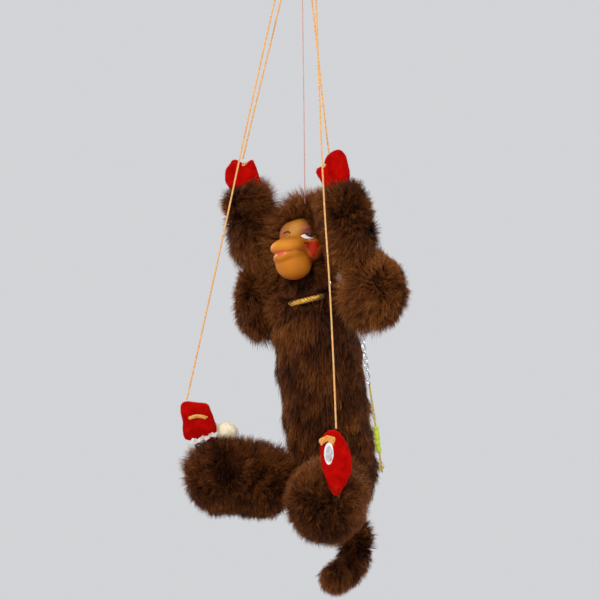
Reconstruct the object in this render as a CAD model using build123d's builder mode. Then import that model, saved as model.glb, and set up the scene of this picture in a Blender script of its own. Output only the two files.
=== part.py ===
"""Fur monkey string puppet (marionette), hanging from a small wooden hand control.

Frame: origin at the centre of the control's hang hole, +Z up, the monkey faces -Y,
+X is the monkey's own left. Units are millimetres.
"""
from build123d import *
import os
from math import cos, sin, radians

os.makedirs("parts", exist_ok=True)

# ---------------------------------------------------------------- driving dimensions
FUR_WALL = 1.6            # leather backing of the fur
GAP = 0.2                 # free space between backing and stuffing
WIRE_R = 0.6              # 1.2 mm joint wire
EYE_R = 2.2               # centre-line radius of a wire eye
EYE_REACH = 1.1           # from a joint's pivot to the centre of each of its two eyes
WIRE_HOLE_R = 1.0         # hole for the wire through fur and stuffing
STRING_R = 0.8
STRING_HOLE_R = 1.3
KNOT_R = 2.1
FELT = 2.6                # felt thickness of hands and feet
VIEW_TURN = 35            # hands and feet are turned this far round +Z

# control
HANG_HOLE_R = 4.0
UPRIGHT_W, UPRIGHT_T, UPRIGHT_TOP, BAR_TOP, BAR_T = 17.0, 6.0, 13.0, -26.0, 5.0
BAR_Y = -8.0
HAND_HOLE_X, FOOT_HOLE_X = 11.5, 18.0
NECK_Y = 8.0              # line that the head turns on
HEAD_EYE_Y, HEAD_STRING_Y = -1.0, 3.0   # head string at the control and at the crown

# torso: height, centre Y, half width, half depth
TORSO = [
    (-284, 11, 9, 8.5), (-293, 12, 16, 15), (-301, 13.5, 25, 22.5), (-311, 15, 31, 28), (-344, 24, 36, 31),
    (-387, 33, 33, 30), (-429, 42, 35, 32), (-460, 49, 32, 30), (-476, 52, 17, 16),
]
SHOULDER_X, SHOULDER_Y, SHOULDER_Z = 36.0, 13.0, -306.0
HEAD = (0, 15, -250)
HEAD_R = 24.0
FACE_WALL = 2.0

# limbs: side sign, then the points of each limb in the order of its wire
SIDES = {
    "right": dict(
        shoulder=(-SHOULDER_X, SHOULDER_Y, SHOULDER_Z), lobe=(-57.5, 14, -301), elbow=(-58, 9, -270.5),
        wrist=(-62, 0, -209), hand=(-62, -2, -193), lobe_r=14.0, lobe_half=26.0, arm_r=(12.5, 13.0),
        hand_size=(16.0, 13.0), thumb=(9.0, 4.0, 8.0), hand_hole=-HAND_HOLE_X, foot_hole=-FOOT_HOLE_X,
        hip=(-22, 16, -462), knee=(-58, -35, -453), ankle=(-72, -52, -427), leg_r=(24.0, 27.5),
        foot_size=(14.5, 21.0), foot_lean=22, string_end=(-61.7, -2, -178.2),
        toe=(-62.5, -71.5, -379.7), heel=[],
        foot_knot=(-0.2, 3.2, 8.0, 2.4),
    ),
    "left": dict(
        shoulder=(SHOULDER_X, SHOULDER_Y, SHOULDER_Z), lobe=(66, 15, -293), elbow=(52, 7, -264),
        wrist=(45, -10, -210.5), hand=(43, -13, -192), lobe_r=20.0, lobe_half=24.5, arm_r=(15.5, 15.0),
        hand_size=(13.0, 17.0), thumb=(-9.0, -6.0, 7.0), hand_hole=HAND_HOLE_X, foot_hole=FOOT_HOLE_X,
        hip=(22, 16, -462), knee=(55, -45, -470), ankle=(79, -66, -465), leg_r=(24.0, 28.5),
        foot_size=(13.0, 26.0), foot_lean=0, string_end=(38, -16.5, -174.5),
        toe=(79.5, -66.5, -407), heel=[(79, -66, -480)],
        foot_knot=(-8.0, 18.7, 6.0, 2.2),
    ),
}
TAIL_PIVOT = (0, 66, -483)
TAIL = [(0, 71, -496), (0, 80, -508), (0, 80, -524), (0, 66, -538), (0, 46, -541)]
TAIL_R = 9.0
LEASH_TOP, LEASH_END = (44, 18, -308), (50, 45, -443)
LINK_R, LINK_WIRE, LINK_PITCH, LINKS = 2.6, 0.5, 4.0, 17


UP, OUT, BACK = Vector(0, 0, 1), Vector(1, 0, 0), Vector(0, 1, 0)


def point(p):
    return Vector(*p)


def unit(a, b):
    return (point(b) - point(a)).normalized()


def side_of(axis):
    """A unit vector square to the axis."""
    other = Vector(0, 0, 1) if abs(axis.Z) < 0.9 else Vector(1, 0, 0)
    return axis.cross(other).normalized()


def turning_plane(start, axis):
    """Plane whose local y runs along the axis, for profiles turned about it."""
    side = side_of(axis)
    return Plane(origin=start, x_dir=side, z_dir=side.cross(axis))


def turned(start, axis, length, r0, r1, round0, round1, mode=Mode.ADD):
    """Body turned about the line from start along axis, its two rims rounded by round0 and round1."""
    with BuildSketch(turning_plane(start, axis)) as outline:
        with BuildLine():
            FilletPolyline((0, 0), (r0, 0), (r1, length), (0, length), radius=(round0, round1))
            Line((0, length), (0, 0))
        make_face()
    revolve(outline.sketch, axis=Axis(start, axis), mode=mode)


def rod(a, b, r, mode=Mode.ADD):
    """Straight round rod from a to b."""
    with BuildSketch(Plane(origin=a, z_dir=unit(a, b))) as section:
        Circle(r)
    extrude(to_extrude=section.sketch, amount=(point(b) - point(a)).length, mode=mode)


def wire_path(points, bend, r, mode=Mode.ADD):
    """Round wire along straight runs with one tangent arc at each inner point."""
    with BuildLine() as path:
        if len(points) == 2:
            Line(points[0], points[1])
        else:
            FilletPolyline(*points, radius=bend)
    with BuildSketch(Plane(origin=path.line @ 0, z_dir=path.line % 0)) as section:
        Circle(r)
    sweep(sections=section.sketch, path=path.line, mode=mode)


def eye(pivot, inward, normal):
    """Wire eye whose inside edge meets its partner at the pivot."""
    normal = inward.cross(normal.cross(inward)).normalized()
    centre = point(pivot) + inward * EYE_REACH
    with Locations(Plane(origin=centre, z_dir=normal)):
        Torus(EYE_R, WIRE_R)
    return centre + inward * EYE_R


def save(piece, name):
    piece.part.label = name
    export_step(piece.part, f"parts/{name}.step")


# ---------------------------------------------------------------- wooden control
with BuildPart() as control_upright:
    with BuildSketch(Plane.XZ.offset(-UPRIGHT_T / 2)) as outline:
        with Locations((0, (UPRIGHT_TOP + BAR_TOP) / 2)):
            RectangleRounded(UPRIGHT_W, UPRIGHT_TOP - BAR_TOP, 2.0)
        with Locations((0, 0)):
            Circle(HANG_HOLE_R, mode=Mode.SUBTRACT)
    extrude(amount=UPRIGHT_T)
save(control_upright, "control_upright")

with BuildPart() as control_crossbar:
    with BuildSketch(Plane.XY.offset(BAR_TOP - BAR_T)):
        with Locations((0, BAR_Y)):
            RectangleRounded(44, 11, 3.0)
        with Locations((0, 1)):
            RectangleRounded(15, 22, 3.0)
        with Locations((0, HEAD_EYE_Y)):
            Circle(WIRE_R, mode=Mode.SUBTRACT)
    extrude(amount=BAR_T)
    for limb in SIDES.values():
        for hole, end in ((limb["hand_hole"], limb["string_end"]), (limb["foot_hole"], limb["toe"])):
            top = Vector(hole, BAR_Y, BAR_TOP)
            along = unit(top, end) * (2 * BAR_T)
            rod(top - along, top + along, STRING_HOLE_R, Mode.SUBTRACT)
save(control_crossbar, "control_crossbar")

BAR_BOTTOM = BAR_TOP - BAR_T
with BuildPart() as head_string_eye:
    shank_foot = eye((0, HEAD_EYE_Y, BAR_BOTTOM - 2 * EYE_R - 2 * WIRE_R), UP, Vector(0, 1, 0))
    rod(shank_foot, (0, HEAD_EYE_Y, BAR_TOP), WIRE_R)
save(head_string_eye, "head_string_eye")

NECK_TOP_Z, NECK_FOOT_Z, NECK_R = -262.0, -318.0, 4.0
with BuildPart() as neck_dowel:
    with BuildSketch(Plane.XY.offset(NECK_FOOT_Z)):
        with Locations((0, NECK_Y)):
            Circle(NECK_R)
    extrude(amount=NECK_TOP_Z - NECK_FOOT_Z)
    chamfer(neck_dowel.edges().group_by(Axis.Z)[-1], 0.8)
save(neck_dowel, "neck_dowel")

CROWN_Z = HEAD[2] + (HEAD_R**2 - (HEAD[1] - HEAD_STRING_Y)**2) ** 0.5 + 1.2
HEAD_KNOT_R = 1.5
with BuildPart() as head_string:
    knot = Vector(0, HEAD_EYE_Y, BAR_BOTTOM - 3 * EYE_R - 3 * WIRE_R - HEAD_KNOT_R)
    rod((0, HEAD_STRING_Y, CROWN_Z), knot, STRING_R * 0.75)
    with Locations(knot):
        Sphere(HEAD_KNOT_R)
save(head_string, "head_string")


# ---------------------------------------------------------------- torso
def torso_loft(inset, mode=Mode.ADD):
    """Torso through its level ellipses, drawn in by inset on every side."""
    top, bottom = TORSO[0][0] - inset, TORSO[-1][0] + inset
    sections = []
    for z, centre_y, half_width, half_depth in TORSO:
        height = min(max(z, bottom), top)
        with BuildSketch(Plane.XY.offset(height)) as section:
            with Locations((0, centre_y)):
                Ellipse(half_width - inset, half_depth - inset)
        sections.append(section.sketch)
    loft(sections=sections, mode=mode)


HIPS = [SIDES[side]["hip"] for side in SIDES]
SHOULDERS = [SIDES[side]["shoulder"] for side in SIDES]


def staple_ends(pivots, inward, normal):
    """Shank ends of the two eyes of a staple that carries a pair of limbs."""
    return [eye(pivot, inward(pivot), normal) for pivot in pivots]


def shoulder_inward(pivot):
    return Vector(-1 if pivot[0] > 0 else 1, 0, 0)


HIP_DEPTH = 34            # how far the hip staple's legs reach into the torso
with BuildPart() as shoulder_wire:
    ends = staple_ends(SHOULDERS, shoulder_inward, Vector(0, 1, 0))
    rod(ends[0], ends[1], WIRE_R)
save(shoulder_wire, "shoulder_wire")

with BuildPart() as hip_wire:
    ends = staple_ends(HIPS, lambda pivot: BACK, OUT)
    bends = [end + BACK * HIP_DEPTH for end in ends]
    hip_staple = [ends[0], bends[0], bends[1], ends[1]]
    wire_path(hip_staple, 6, WIRE_R)
save(hip_wire, "hip_wire")

with BuildPart() as tail_staple:
    end = eye(TAIL_PIVOT, UP, Vector(1, 0, 0))
    rod(end, end + UP * 26, WIRE_R)
save(tail_staple, "tail_staple")


def torso_channels(r, neck_r):
    """Passages for the joint wires and the neck dowel."""
    rod(point(SHOULDERS[0]) + OUT * 3, point(SHOULDERS[1]) - OUT * 3, r, Mode.SUBTRACT)
    wire_path(hip_staple, 6, r, Mode.SUBTRACT)
    rod(point(TAIL_PIVOT) + UP * 2, point(TAIL_PIVOT) + UP * 31, r, Mode.SUBTRACT)
    rod((0, NECK_Y, NECK_FOOT_Z), (0, NECK_Y, TORSO[0][0] + 5), neck_r, Mode.SUBTRACT)


with BuildPart() as torso_fur:
    torso_loft(0)
    torso_loft(FUR_WALL, Mode.SUBTRACT)
    torso_channels(WIRE_HOLE_R, NECK_R)
save(torso_fur, "torso_fur")

with BuildPart() as torso_stuffing:
    torso_loft(FUR_WALL + 6 * GAP)
    torso_channels(WIRE_HOLE_R, NECK_R)
save(torso_stuffing, "torso_stuffing")

COLLAR_R, COLLAR_WIRE, COLLAR_TILT, COLLAR_Z = 29.0, 1.7, 7, -301.0
with BuildPart() as collar_braid:
    with Locations(Location((0, 14, COLLAR_Z), (COLLAR_TILT, 0, 0))):
        Torus(COLLAR_R, COLLAR_WIRE)
save(collar_braid, "collar_braid")

# ---------------------------------------------------------------- head
PLATE_FRONT, PLATE_R, PLATE_DEPTH, PLATE_ROUND = (0, -9.5, -250), 20.0, 18.5, 9.0
JAW, JAW_R = (0, -13, -269), 15.5
MUZZLE_BACK, MUZZLE_TIP, MUZZLE_R = (0, -2, -259), (0, -36, -258), 10.5


def face_form(inset, mode=Mode.ADD):
    """Shallow dished face, round lower jaw and forward muzzle, drawn in by inset."""
    turned(point(PLATE_FRONT) + BACK * inset, BACK, PLATE_DEPTH - 2 * inset, PLATE_R - inset, PLATE_R - inset,
           PLATE_ROUND - inset, 2, mode)
    axis = unit(MUZZLE_BACK, MUZZLE_TIP)
    length = (point(MUZZLE_TIP) - point(MUZZLE_BACK)).length - inset
    turned(point(MUZZLE_BACK), axis, length, MUZZLE_R - inset, MUZZLE_R - inset, 2, MUZZLE_R - inset - 0.6, mode)
    with Locations(JAW):
        Sphere(JAW_R - inset, mode=mode)


HEAD_HOLE_R = NECK_R + 0.5
with BuildPart() as face_mask:
    face_form(0)
    with Locations(HEAD):
        Sphere(HEAD_R, mode=Mode.SUBTRACT)
    face_form(FACE_WALL, Mode.SUBTRACT)
save(face_mask, "face_mask")


def neck_passage(mode=Mode.SUBTRACT):
    """Blind hole for the neck dowel."""
    rod((0, NECK_Y, HEAD[2] - HEAD_R - 8), (0, NECK_Y, NECK_TOP_Z + 0.5), HEAD_HOLE_R, mode)


with BuildPart() as head_fur:
    with Locations(HEAD):
        Sphere(HEAD_R)
        Sphere(HEAD_R - FUR_WALL, mode=Mode.SUBTRACT)
    neck_passage()
    face_form(-GAP, Mode.SUBTRACT)
save(head_fur, "head_fur")

with BuildPart() as head_stuffing:
    with Locations(HEAD):
        Sphere(HEAD_R - FUR_WALL - GAP)
    face_form(FACE_WALL + GAP)
    neck_passage()
save(head_stuffing, "head_stuffing")

# ---------------------------------------------------------------- tail
TAIL_BEND = 11.0
with BuildPart() as tail_wire:
    end = eye(TAIL_PIVOT, unit(TAIL_PIVOT, TAIL[0]), UP.cross(OUT))
    wire_path([end, *TAIL], TAIL_BEND, WIRE_R)
save(tail_wire, "tail_wire")

with BuildPart() as tail_fur:
    wire_path(TAIL, TAIL_BEND, TAIL_R)
    with Locations(TAIL[0], TAIL[-1]):
        Sphere(TAIL_R)
    wire_path([end, *TAIL], TAIL_BEND, WIRE_R + GAP, Mode.SUBTRACT)
save(tail_fur, "tail_fur")

# ---------------------------------------------------------------- leash
LEASH = unit(LEASH_TOP, LEASH_END)
LEASH_LENGTH = (point(LEASH_END) - point(LEASH_TOP)).length
with BuildPart() as leash_ring:
    with Locations(Plane(origin=point(LEASH_TOP) - LEASH * LINK_PITCH * 1.02, z_dir=(0, 1, 0))):
        Torus(LINK_R, LINK_WIRE)
    rod((COLLAR_R + COLLAR_WIRE - 0.2, 14, COLLAR_Z), (LEASH_TOP[0] - LINK_R, LEASH_TOP[1], -304), LINK_WIRE)
save(leash_ring, "leash_ring")

with BuildPart() as leash_chain:
    for number in range(LINKS):
        facing = LEASH.cross(Vector(0, 1, 0)) if number % 2 == 0 else LEASH.cross(OUT)
        with Locations(Plane(origin=point(LEASH_TOP) + LEASH * LINK_PITCH * number, z_dir=facing)):
            Torus(LINK_R, LINK_WIRE)
save(leash_chain, "leash_chain")

CORD_R = 0.9
CHAIN_LENGTH = LINK_PITCH * (LINKS - 1) + LINK_R
SLEEVE_START, SLEEVE_LENGTH, SLEEVE_R = 103.0, 23.0, 2.4
with BuildPart() as leash_cord:
    rod(point(LEASH_TOP) + LEASH * (CHAIN_LENGTH + LINK_WIRE + 0.2), LEASH_END, CORD_R)
save(leash_cord, "leash_cord")

with BuildPart() as leash_sleeve:
    start = point(LEASH_TOP) + LEASH * SLEEVE_START
    rod(start, start + LEASH * SLEEVE_LENGTH, SLEEVE_R)
    rod(start, start + LEASH * SLEEVE_LENGTH, CORD_R, Mode.SUBTRACT)
save(leash_sleeve, "leash_sleeve")

with BuildPart() as leash_knot:
    with Locations(point(LEASH_END) + LEASH * KNOT_R * 0.9):
        Sphere(KNOT_R * 0.9)
save(leash_knot, "leash_knot")

# ---------------------------------------------------------------- arms, legs and their strings
FACING = Vector(sin(radians(VIEW_TURN)), -cos(radians(VIEW_TURN)), 0)
ACROSS = Vector(cos(radians(VIEW_TURN)), sin(radians(VIEW_TURN)), 0)


def limb_string(top, end, name):
    """String from above its hole in the control to the limb, with its stop knot."""
    axis = unit(end, top)
    with BuildPart() as string:
        rod(end, point(top) + axis * 3, STRING_R)
        with Locations(point(top) + axis * (KNOT_R + 0.3)):
            Sphere(KNOT_R)
    save(string, name)


def felt_pair(shape, centre, lean, names, channel=None):
    """Two felt layers face to face, with the outline drawn by shape."""
    up = UP * cos(radians(lean)) + FACING * sin(radians(lean))
    normal = ACROSS.cross(up)
    for name, direction in zip(names, (1, -1)):
        with BuildPart() as felt:
            with BuildSketch(Plane(origin=centre, x_dir=ACROSS, z_dir=normal)):
                shape()
            extrude(amount=FELT * direction)
            if channel:
                rod(channel[0], channel[1], WIRE_R, Mode.SUBTRACT)
        save(felt, name)


LEG_BEND = 8
LEG_END_FLAT = 3.0        # small flat left in the middle of the leg's round end
FOOT_WIRE = 14           # how far the foot wire reaches between the felt layers
for side, limb in SIDES.items():
    # upper arm: short and full, the wire bends up inside it
    lobe, elbow, wrist = point(limb["lobe"]), point(limb["elbow"]), point(limb["wrist"])
    shoulder = point(limb["shoulder"])
    with BuildPart() as upper_arm_wire:
        corner = Vector(elbow.X, elbow.Y, shoulder.Z)
        first = eye(limb["shoulder"], unit(limb["shoulder"], corner), UP)
        last = eye(limb["elbow"], -UP, OUT)
        wire_path([first, corner, last], 9, WIRE_R)
    save(upper_arm_wire, f"{side}_upper_arm_wire")

    low, half = lobe - UP * limb["lobe_half"], limb["lobe_half"]
    for name, inset in (("fur", 0), ("stuffing", FUR_WALL + GAP)):
        with BuildPart() as upper_arm:
            reach = half - inset
            r = limb["lobe_r"] - inset
            turned(lobe - UP * reach, UP, 2 * reach, r, r, r - 0.6, r - 0.6)
            if name == "fur":
                core = half - FUR_WALL
                r = limb["lobe_r"] - FUR_WALL
                turned(lobe - UP * core, UP, 2 * core, r, r, r - 0.6, r - 0.6, Mode.SUBTRACT)
            wire_path([shoulder, corner, elbow], 9, WIRE_HOLE_R, Mode.SUBTRACT)
        save(upper_arm, f"{side}_upper_arm_{name}")

    # forearm, from above the elbow to the wrist
    axis = unit(limb["elbow"], limb["wrist"])
    start = elbow + axis * (EYE_REACH + EYE_R + WIRE_R + 0.4)
    length = (wrist - start).length
    with BuildPart() as forearm_wire:
        first = eye(limb["elbow"], axis, axis.cross(OUT).normalized())
        rod(first, wrist - axis * 4, WIRE_R)
    save(forearm_wire, f"{side}_forearm_wire")
    for name, inset in (("fur", 0), ("stuffing", FUR_WALL + GAP)):
        with BuildPart() as forearm:
            r0, r1 = (r - inset for r in limb["arm_r"])
            turned(start + axis * inset, axis, length - 2 * inset, r0, r1, 9, 5)
            if name == "fur":
                turned(start + axis * FUR_WALL, axis, length - 2 * FUR_WALL, r0 - FUR_WALL, r1 - FUR_WALL, 9, 5,
                       Mode.SUBTRACT)
            rod(elbow, wrist - axis * 4, WIRE_HOLE_R, Mode.SUBTRACT)
        save(forearm, f"{side}_forearm_{name}")

    # mitten hand: two felt layers sewn round the edge
    half_width, half_height = limb["hand_size"]
    thumb_x, thumb_y, thumb_r = limb["thumb"]

    def mitten():
        with Locations((-thumb_x * 0.35, 0)):
            Ellipse(half_width - abs(thumb_x) * 0.35, half_height)
        with Locations((thumb_x, thumb_y)):
            Circle(thumb_r)

    felt_pair(mitten, limb["hand"], 0, (f"{side}_hand_palm", f"{side}_hand_back"))
    top_of_string = point((limb["hand_hole"], BAR_Y, BAR_TOP))
    limb_string(top_of_string, limb["string_end"], f"{side}_hand_string")

    # leg: one full fur tube from hip to ankle
    hip, knee, ankle = point(limb["hip"]), point(limb["knee"]), point(limb["ankle"])
    direction = unit(limb["hip"], limb["knee"])
    corners = [knee, *[point(p) for p in limb["heel"]]]   # the left wire dips under its ankle
    drop = (corners[-1] - ankle).normalized()
    with BuildPart() as leg_wire:
        first = eye(limb["hip"], direction, UP)
        last = eye(limb["ankle"], drop, ACROSS)
        wire_path([first, *corners, last], LEG_BEND, WIRE_R)
    save(leg_wire, f"{side}_leg_wire")
    r0, r1 = limb["leg_r"]
    start = hip + direction * 6
    length = (knee - start).length + r1
    for name, inset in (("fur", 0), ("stuffing", FUR_WALL + GAP)):
        with BuildPart() as leg:
            turned(start + direction * inset, direction, length - 2 * inset, r0 - inset, r1 - inset,
                   18 - inset, r1 - inset - LEG_END_FLAT)
            if name == "fur":
                turned(start + direction * FUR_WALL, direction, length - 2 * FUR_WALL, r0 - FUR_WALL,
                       r1 - FUR_WALL, 18 - FUR_WALL, r1 - FUR_WALL - LEG_END_FLAT, Mode.SUBTRACT)
            wire_path([hip, *corners, ankle], LEG_BEND, WIRE_HOLE_R, Mode.SUBTRACT)
        save(leg, f"{side}_leg_{name}")

    # foot: felt slipper with its own short wire
    half_width, half_height = limb["foot_size"]

    def slipper():
        Ellipse(half_width, half_height)

    up = UP * cos(radians(limb["foot_lean"])) + FACING * sin(radians(limb["foot_lean"]))
    with BuildPart() as foot_wire:
        first = eye(limb["ankle"], up, up.cross(ACROSS).normalized())
        rod(first, first + up * FOOT_WIRE, WIRE_R)
    save(foot_wire, f"{side}_foot_wire")
    centre = ankle + up * (half_height + EYE_REACH + EYE_R + WIRE_R + 0.4)
    felt_pair(slipper, centre, limb["foot_lean"], (f"{side}_foot_sole", f"{side}_foot_upper"),
              (first, first + up * FOOT_WIRE))
    # yarn knot sewn across the sole
    across, rise, half, r = limb["foot_knot"]
    facing = ACROSS.cross(up)
    middle = centre + ACROSS * across + up * rise + facing * (FELT + r)
    with BuildPart() as foot_knot:
        turned(middle - ACROSS * half, ACROSS, 2 * half, r, r, r - 0.3, r - 0.3)
    save(foot_knot, f"{side}_foot_knot")
    top_of_string = point((limb["foot_hole"], BAR_Y, BAR_TOP))
    limb_string(top_of_string, limb["toe"], f"{side}_foot_string")

# cream fleece pad on top of the right leg, and the blank cloth patch on the left sole
PAD_CENTRE, PAD_HALF, PAD_R = Vector(-56.5, -35.9, -415.5), 13.0, 7.5
with BuildPart() as leg_pad:
    turned(PAD_CENTRE - ACROSS * PAD_HALF, ACROSS, 2 * PAD_HALF, PAD_R, PAD_R, PAD_R - 0.6, PAD_R - 0.6)
save(leg_pad, "right_leg_pad")

PATCH_ACROSS, PATCH_RISE, PATCH_HALF, PATCH_T = -6.5, 5.4, (3.6, 9.2), 1.0
with BuildPart() as sole_patch:
    with BuildSketch(Plane(origin=centre + ACROSS * PATCH_ACROSS + up * PATCH_RISE + facing * FELT,
                           x_dir=ACROSS, z_dir=facing)):
        Ellipse(*PATCH_HALF)
    extrude(amount=PATCH_T)
save(sole_patch, "left_sole_patch")
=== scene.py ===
"""Looks of the fur monkey marionette: long fur, felt, rubber face, cords, braid, chain and wood."""

import math

import bmesh
import bpy
import numpy as np
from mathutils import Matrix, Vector, kdtree, noise


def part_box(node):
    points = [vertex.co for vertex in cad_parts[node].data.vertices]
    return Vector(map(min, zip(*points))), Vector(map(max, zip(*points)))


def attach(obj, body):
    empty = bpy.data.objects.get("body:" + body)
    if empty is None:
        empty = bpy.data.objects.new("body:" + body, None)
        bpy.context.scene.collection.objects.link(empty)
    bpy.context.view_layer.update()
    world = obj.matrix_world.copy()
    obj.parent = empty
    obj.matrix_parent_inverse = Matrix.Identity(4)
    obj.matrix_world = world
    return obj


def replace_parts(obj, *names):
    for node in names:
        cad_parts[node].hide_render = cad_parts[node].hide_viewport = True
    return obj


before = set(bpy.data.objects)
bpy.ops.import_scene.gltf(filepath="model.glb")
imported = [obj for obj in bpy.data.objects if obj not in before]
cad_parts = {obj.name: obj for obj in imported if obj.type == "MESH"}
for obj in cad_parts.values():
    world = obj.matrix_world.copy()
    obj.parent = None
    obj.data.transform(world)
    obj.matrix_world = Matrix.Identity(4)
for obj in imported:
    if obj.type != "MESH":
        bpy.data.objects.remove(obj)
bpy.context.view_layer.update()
MM = 0.001
random = np.random.default_rng(41)

VIEW_TURN = math.radians(35)          # the photographed view, round +Z
TOWARDS_VIEW = Vector((math.sin(VIEW_TURN), -math.cos(VIEW_TURN), 0))
ACROSS_VIEW = Vector((math.cos(VIEW_TURN), math.sin(VIEW_TURN), 0))
UP = Vector((0, 0, 1))
SIDES = ("right", "left")


# ---------------------------------------------------------------- node materials
def material(name, colour, roughness=0.6, metallic=0.0, sheen=0.0, coat=0.0, specular=0.5):
    made = bpy.data.materials.new(name)
    made.use_nodes = True
    shader = made.node_tree.nodes["Principled BSDF"]
    shader.inputs["Base Color"].default_value = (*colour, 1)
    shader.inputs["Roughness"].default_value = roughness
    shader.inputs["Metallic"].default_value = metallic
    shader.inputs["Sheen Weight"].default_value = sheen
    shader.inputs["Coat Weight"].default_value = coat
    shader.inputs["Specular IOR Level"].default_value = specular
    made.diffuse_color = (*colour, 1)
    return made


def add_node(made, kind, **values):
    node = made.node_tree.nodes.new(kind)
    for key, value in values.items():
        if key in node.inputs:
            node.inputs[key].default_value = value
        else:
            setattr(node, key, value)
    return node


def wire(made, source, target):
    made.node_tree.links.new(source, target)


def ramp(made, factor, stops):
    """Colour ramp over factor; stops are (position, colour)."""
    node = add_node(made, "ShaderNodeValToRGB")
    first, last = node.color_ramp.elements
    first.position, first.color = stops[0][0], (*stops[0][1], 1)
    last.position, last.color = stops[-1][0], (*stops[-1][1], 1)
    for position, colour in stops[1:-1]:
        node.color_ramp.elements.new(position).color = (*colour, 1)
    wire(made, factor, node.inputs["Fac"])
    return node.outputs["Color"]


def noise_node(made, scale, detail, stretch=(1, 1, 1)):
    mapping = add_node(made, "ShaderNodeMapping", Scale=stretch)
    wire(made, add_node(made, "ShaderNodeTexCoord").outputs["Object"], mapping.inputs["Vector"])
    node = add_node(made, "ShaderNodeTexNoise", Scale=scale, Detail=detail)
    wire(made, mapping.outputs["Vector"], node.inputs["Vector"])
    return node.outputs["Fac"]


def bump(made, height, strength, distance):
    node = add_node(made, "ShaderNodeBump", Strength=strength, Distance=distance)
    wire(made, height, node.inputs["Height"])
    wire(made, node.outputs["Normal"], made.node_tree.nodes["Principled BSDF"].inputs["Normal"])


def mottled(name, stops, scale, grain, grain_strength=0.3, grain_depth=0.0004, stretch=(1, 1, 1), **finish):
    """Colour ramp over soft noise, with a finer noise as bump."""
    made = material(name, stops[len(stops) // 2][1], **finish)
    shader = made.node_tree.nodes["Principled BSDF"]
    wire(made, ramp(made, noise_node(made, scale, 4, stretch), stops), shader.inputs["Base Color"])
    bump(made, noise_node(made, grain, 6, stretch), grain_strength, grain_depth)
    return made


# six browns from dark to light: fur() gives the dark ones to the roots as painted shade and the light ones to the tips
# as painted highlight
FUR_TONES = [
    material(f"fur_tone_{number}", colour, roughness=0.55, specular=0.12)
    for number, colour in enumerate([
        (0.016, 0.0045, 0.002), (0.049, 0.0132, 0.0042), (0.110, 0.030, 0.0075),
        (0.200, 0.057, 0.012), (0.31, 0.100, 0.020), (0.43, 0.165, 0.040),
    ])
]
HIDE = mottled("fur_hide", [(0.3, (0.010, 0.004, 0.002)), (0.7, (0.035, 0.013, 0.005))], 120, 900, roughness=0.9,
               specular=0.05)
FELT = mottled("red_felt", [(0.25, (0.30, 0.0012, 0.001)), (0.5, (0.44, 0.002, 0.001)), (0.8, (0.55, 0.005, 0.003))],
               160, 2600, 0.75, 0.0006, roughness=1.0, specular=0.03)
FELT_EDGE = mottled("red_felt_fibre", [(0.3, (0.42, 0.003, 0.002)), (0.7, (0.62, 0.015, 0.010))], 900, 3000,
                    roughness=1.0, specular=0.03)
STRING = mottled("puppet_string", [(0.3, (0.62, 0.27, 0.07)), (0.55, (0.83, 0.45, 0.15)), (0.8, (0.93, 0.62, 0.30))],
                 700, 3000, 0.5, 0.0003, roughness=0.8, sheen=0.2)
YARN = mottled("orange_yarn", [(0.3, (0.66, 0.24, 0.03)), (0.6, (0.90, 0.42, 0.08)), (0.8, (0.97, 0.62, 0.20))],
               700, 3400, 0.6, 0.0004, roughness=0.9, sheen=0.3)
THREAD = mottled("head_thread", [(0.3, (0.50, 0.24, 0.22)), (0.7, (0.72, 0.44, 0.40))], 900, 3000, roughness=0.7)
GOLD = mottled("gold_braid", [(0.3, (0.36, 0.15, 0.02)), (0.5, (0.78, 0.44, 0.08)), (0.75, (0.98, 0.74, 0.28))],
               900, 2400, 0.8, 0.0004, roughness=0.34, metallic=0.85)
CHROME = mottled("chain_metal", [(0.3, (0.62, 0.62, 0.64)), (0.7, (0.88, 0.88, 0.90))], 300, 1500, 0.1, 0.0001,
                 roughness=0.16, metallic=1.0)
BOUND_WIRE = mottled("bound_wire", [(0.3, (0.012, 0.005, 0.003)), (0.7, (0.045, 0.018, 0.008))], 600, 2600, 0.6, 0.0003,
                     roughness=0.8, specular=0.1)
BRASS = mottled("brass_eye", [(0.3, (0.55, 0.36, 0.12)), (0.7, (0.78, 0.56, 0.22))], 300, 1500, roughness=0.25,
                metallic=1.0)
GRAIN = [(0.30, (0.30, 0.15, 0.06)), (0.45, (0.50, 0.29, 0.13)), (0.60, (0.44, 0.24, 0.10)), (0.75, (0.62, 0.40, 0.20))]
WOOD, CROSS_WOOD = (mottled(name, GRAIN, 26, 160, 0.25, 0.0003, stretch, roughness=0.42, coat=0.25)
                    for name, stretch in (("control_wood", (7, 7, 0.8)), ("crossbar_wood", (0.8, 7, 7))))
DOWEL = mottled("dowel_wood", [(0.3, (0.45, 0.30, 0.16)), (0.7, (0.62, 0.45, 0.26))], 60, 400, 0.3, 0.0003,
                (6, 6, 1), roughness=0.7)
NEON = mottled("neon_sleeve", [(0.3, (0.42, 0.54, 0.02)), (0.6, (0.56, 0.66, 0.03)), (0.8, (0.68, 0.76, 0.10))],
               160, 700, 0.4, 0.0006, roughness=0.35, coat=0.3)
LEASH_CORD = mottled("leash_cord", [(0.3, (0.30, 0.20, 0.05)), (0.6, (0.72, 0.50, 0.09)), (0.8, (0.85, 0.66, 0.2))],
                     500, 3000, roughness=0.7)
CREAM = mottled("cream_pad", [(0.3, (0.80, 0.66, 0.42)), (0.6, (0.93, 0.84, 0.62)), (0.8, (0.97, 0.92, 0.76))],
                90, 1500, 0.35, 0.0005, roughness=0.8, sheen=0.2)
PATCH = mottled("sole_patch", [(0.35, (0.55, 0.54, 0.52)), (0.5, (0.80, 0.79, 0.76)), (0.7, (0.93, 0.91, 0.87))],
                260, 2200, 0.3, 0.0003, roughness=0.85)
LINING = mottled("white_lining", [(0.3, (0.70, 0.60, 0.55)), (0.7, (0.95, 0.90, 0.85))], 300, 2200, roughness=0.9)


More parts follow.
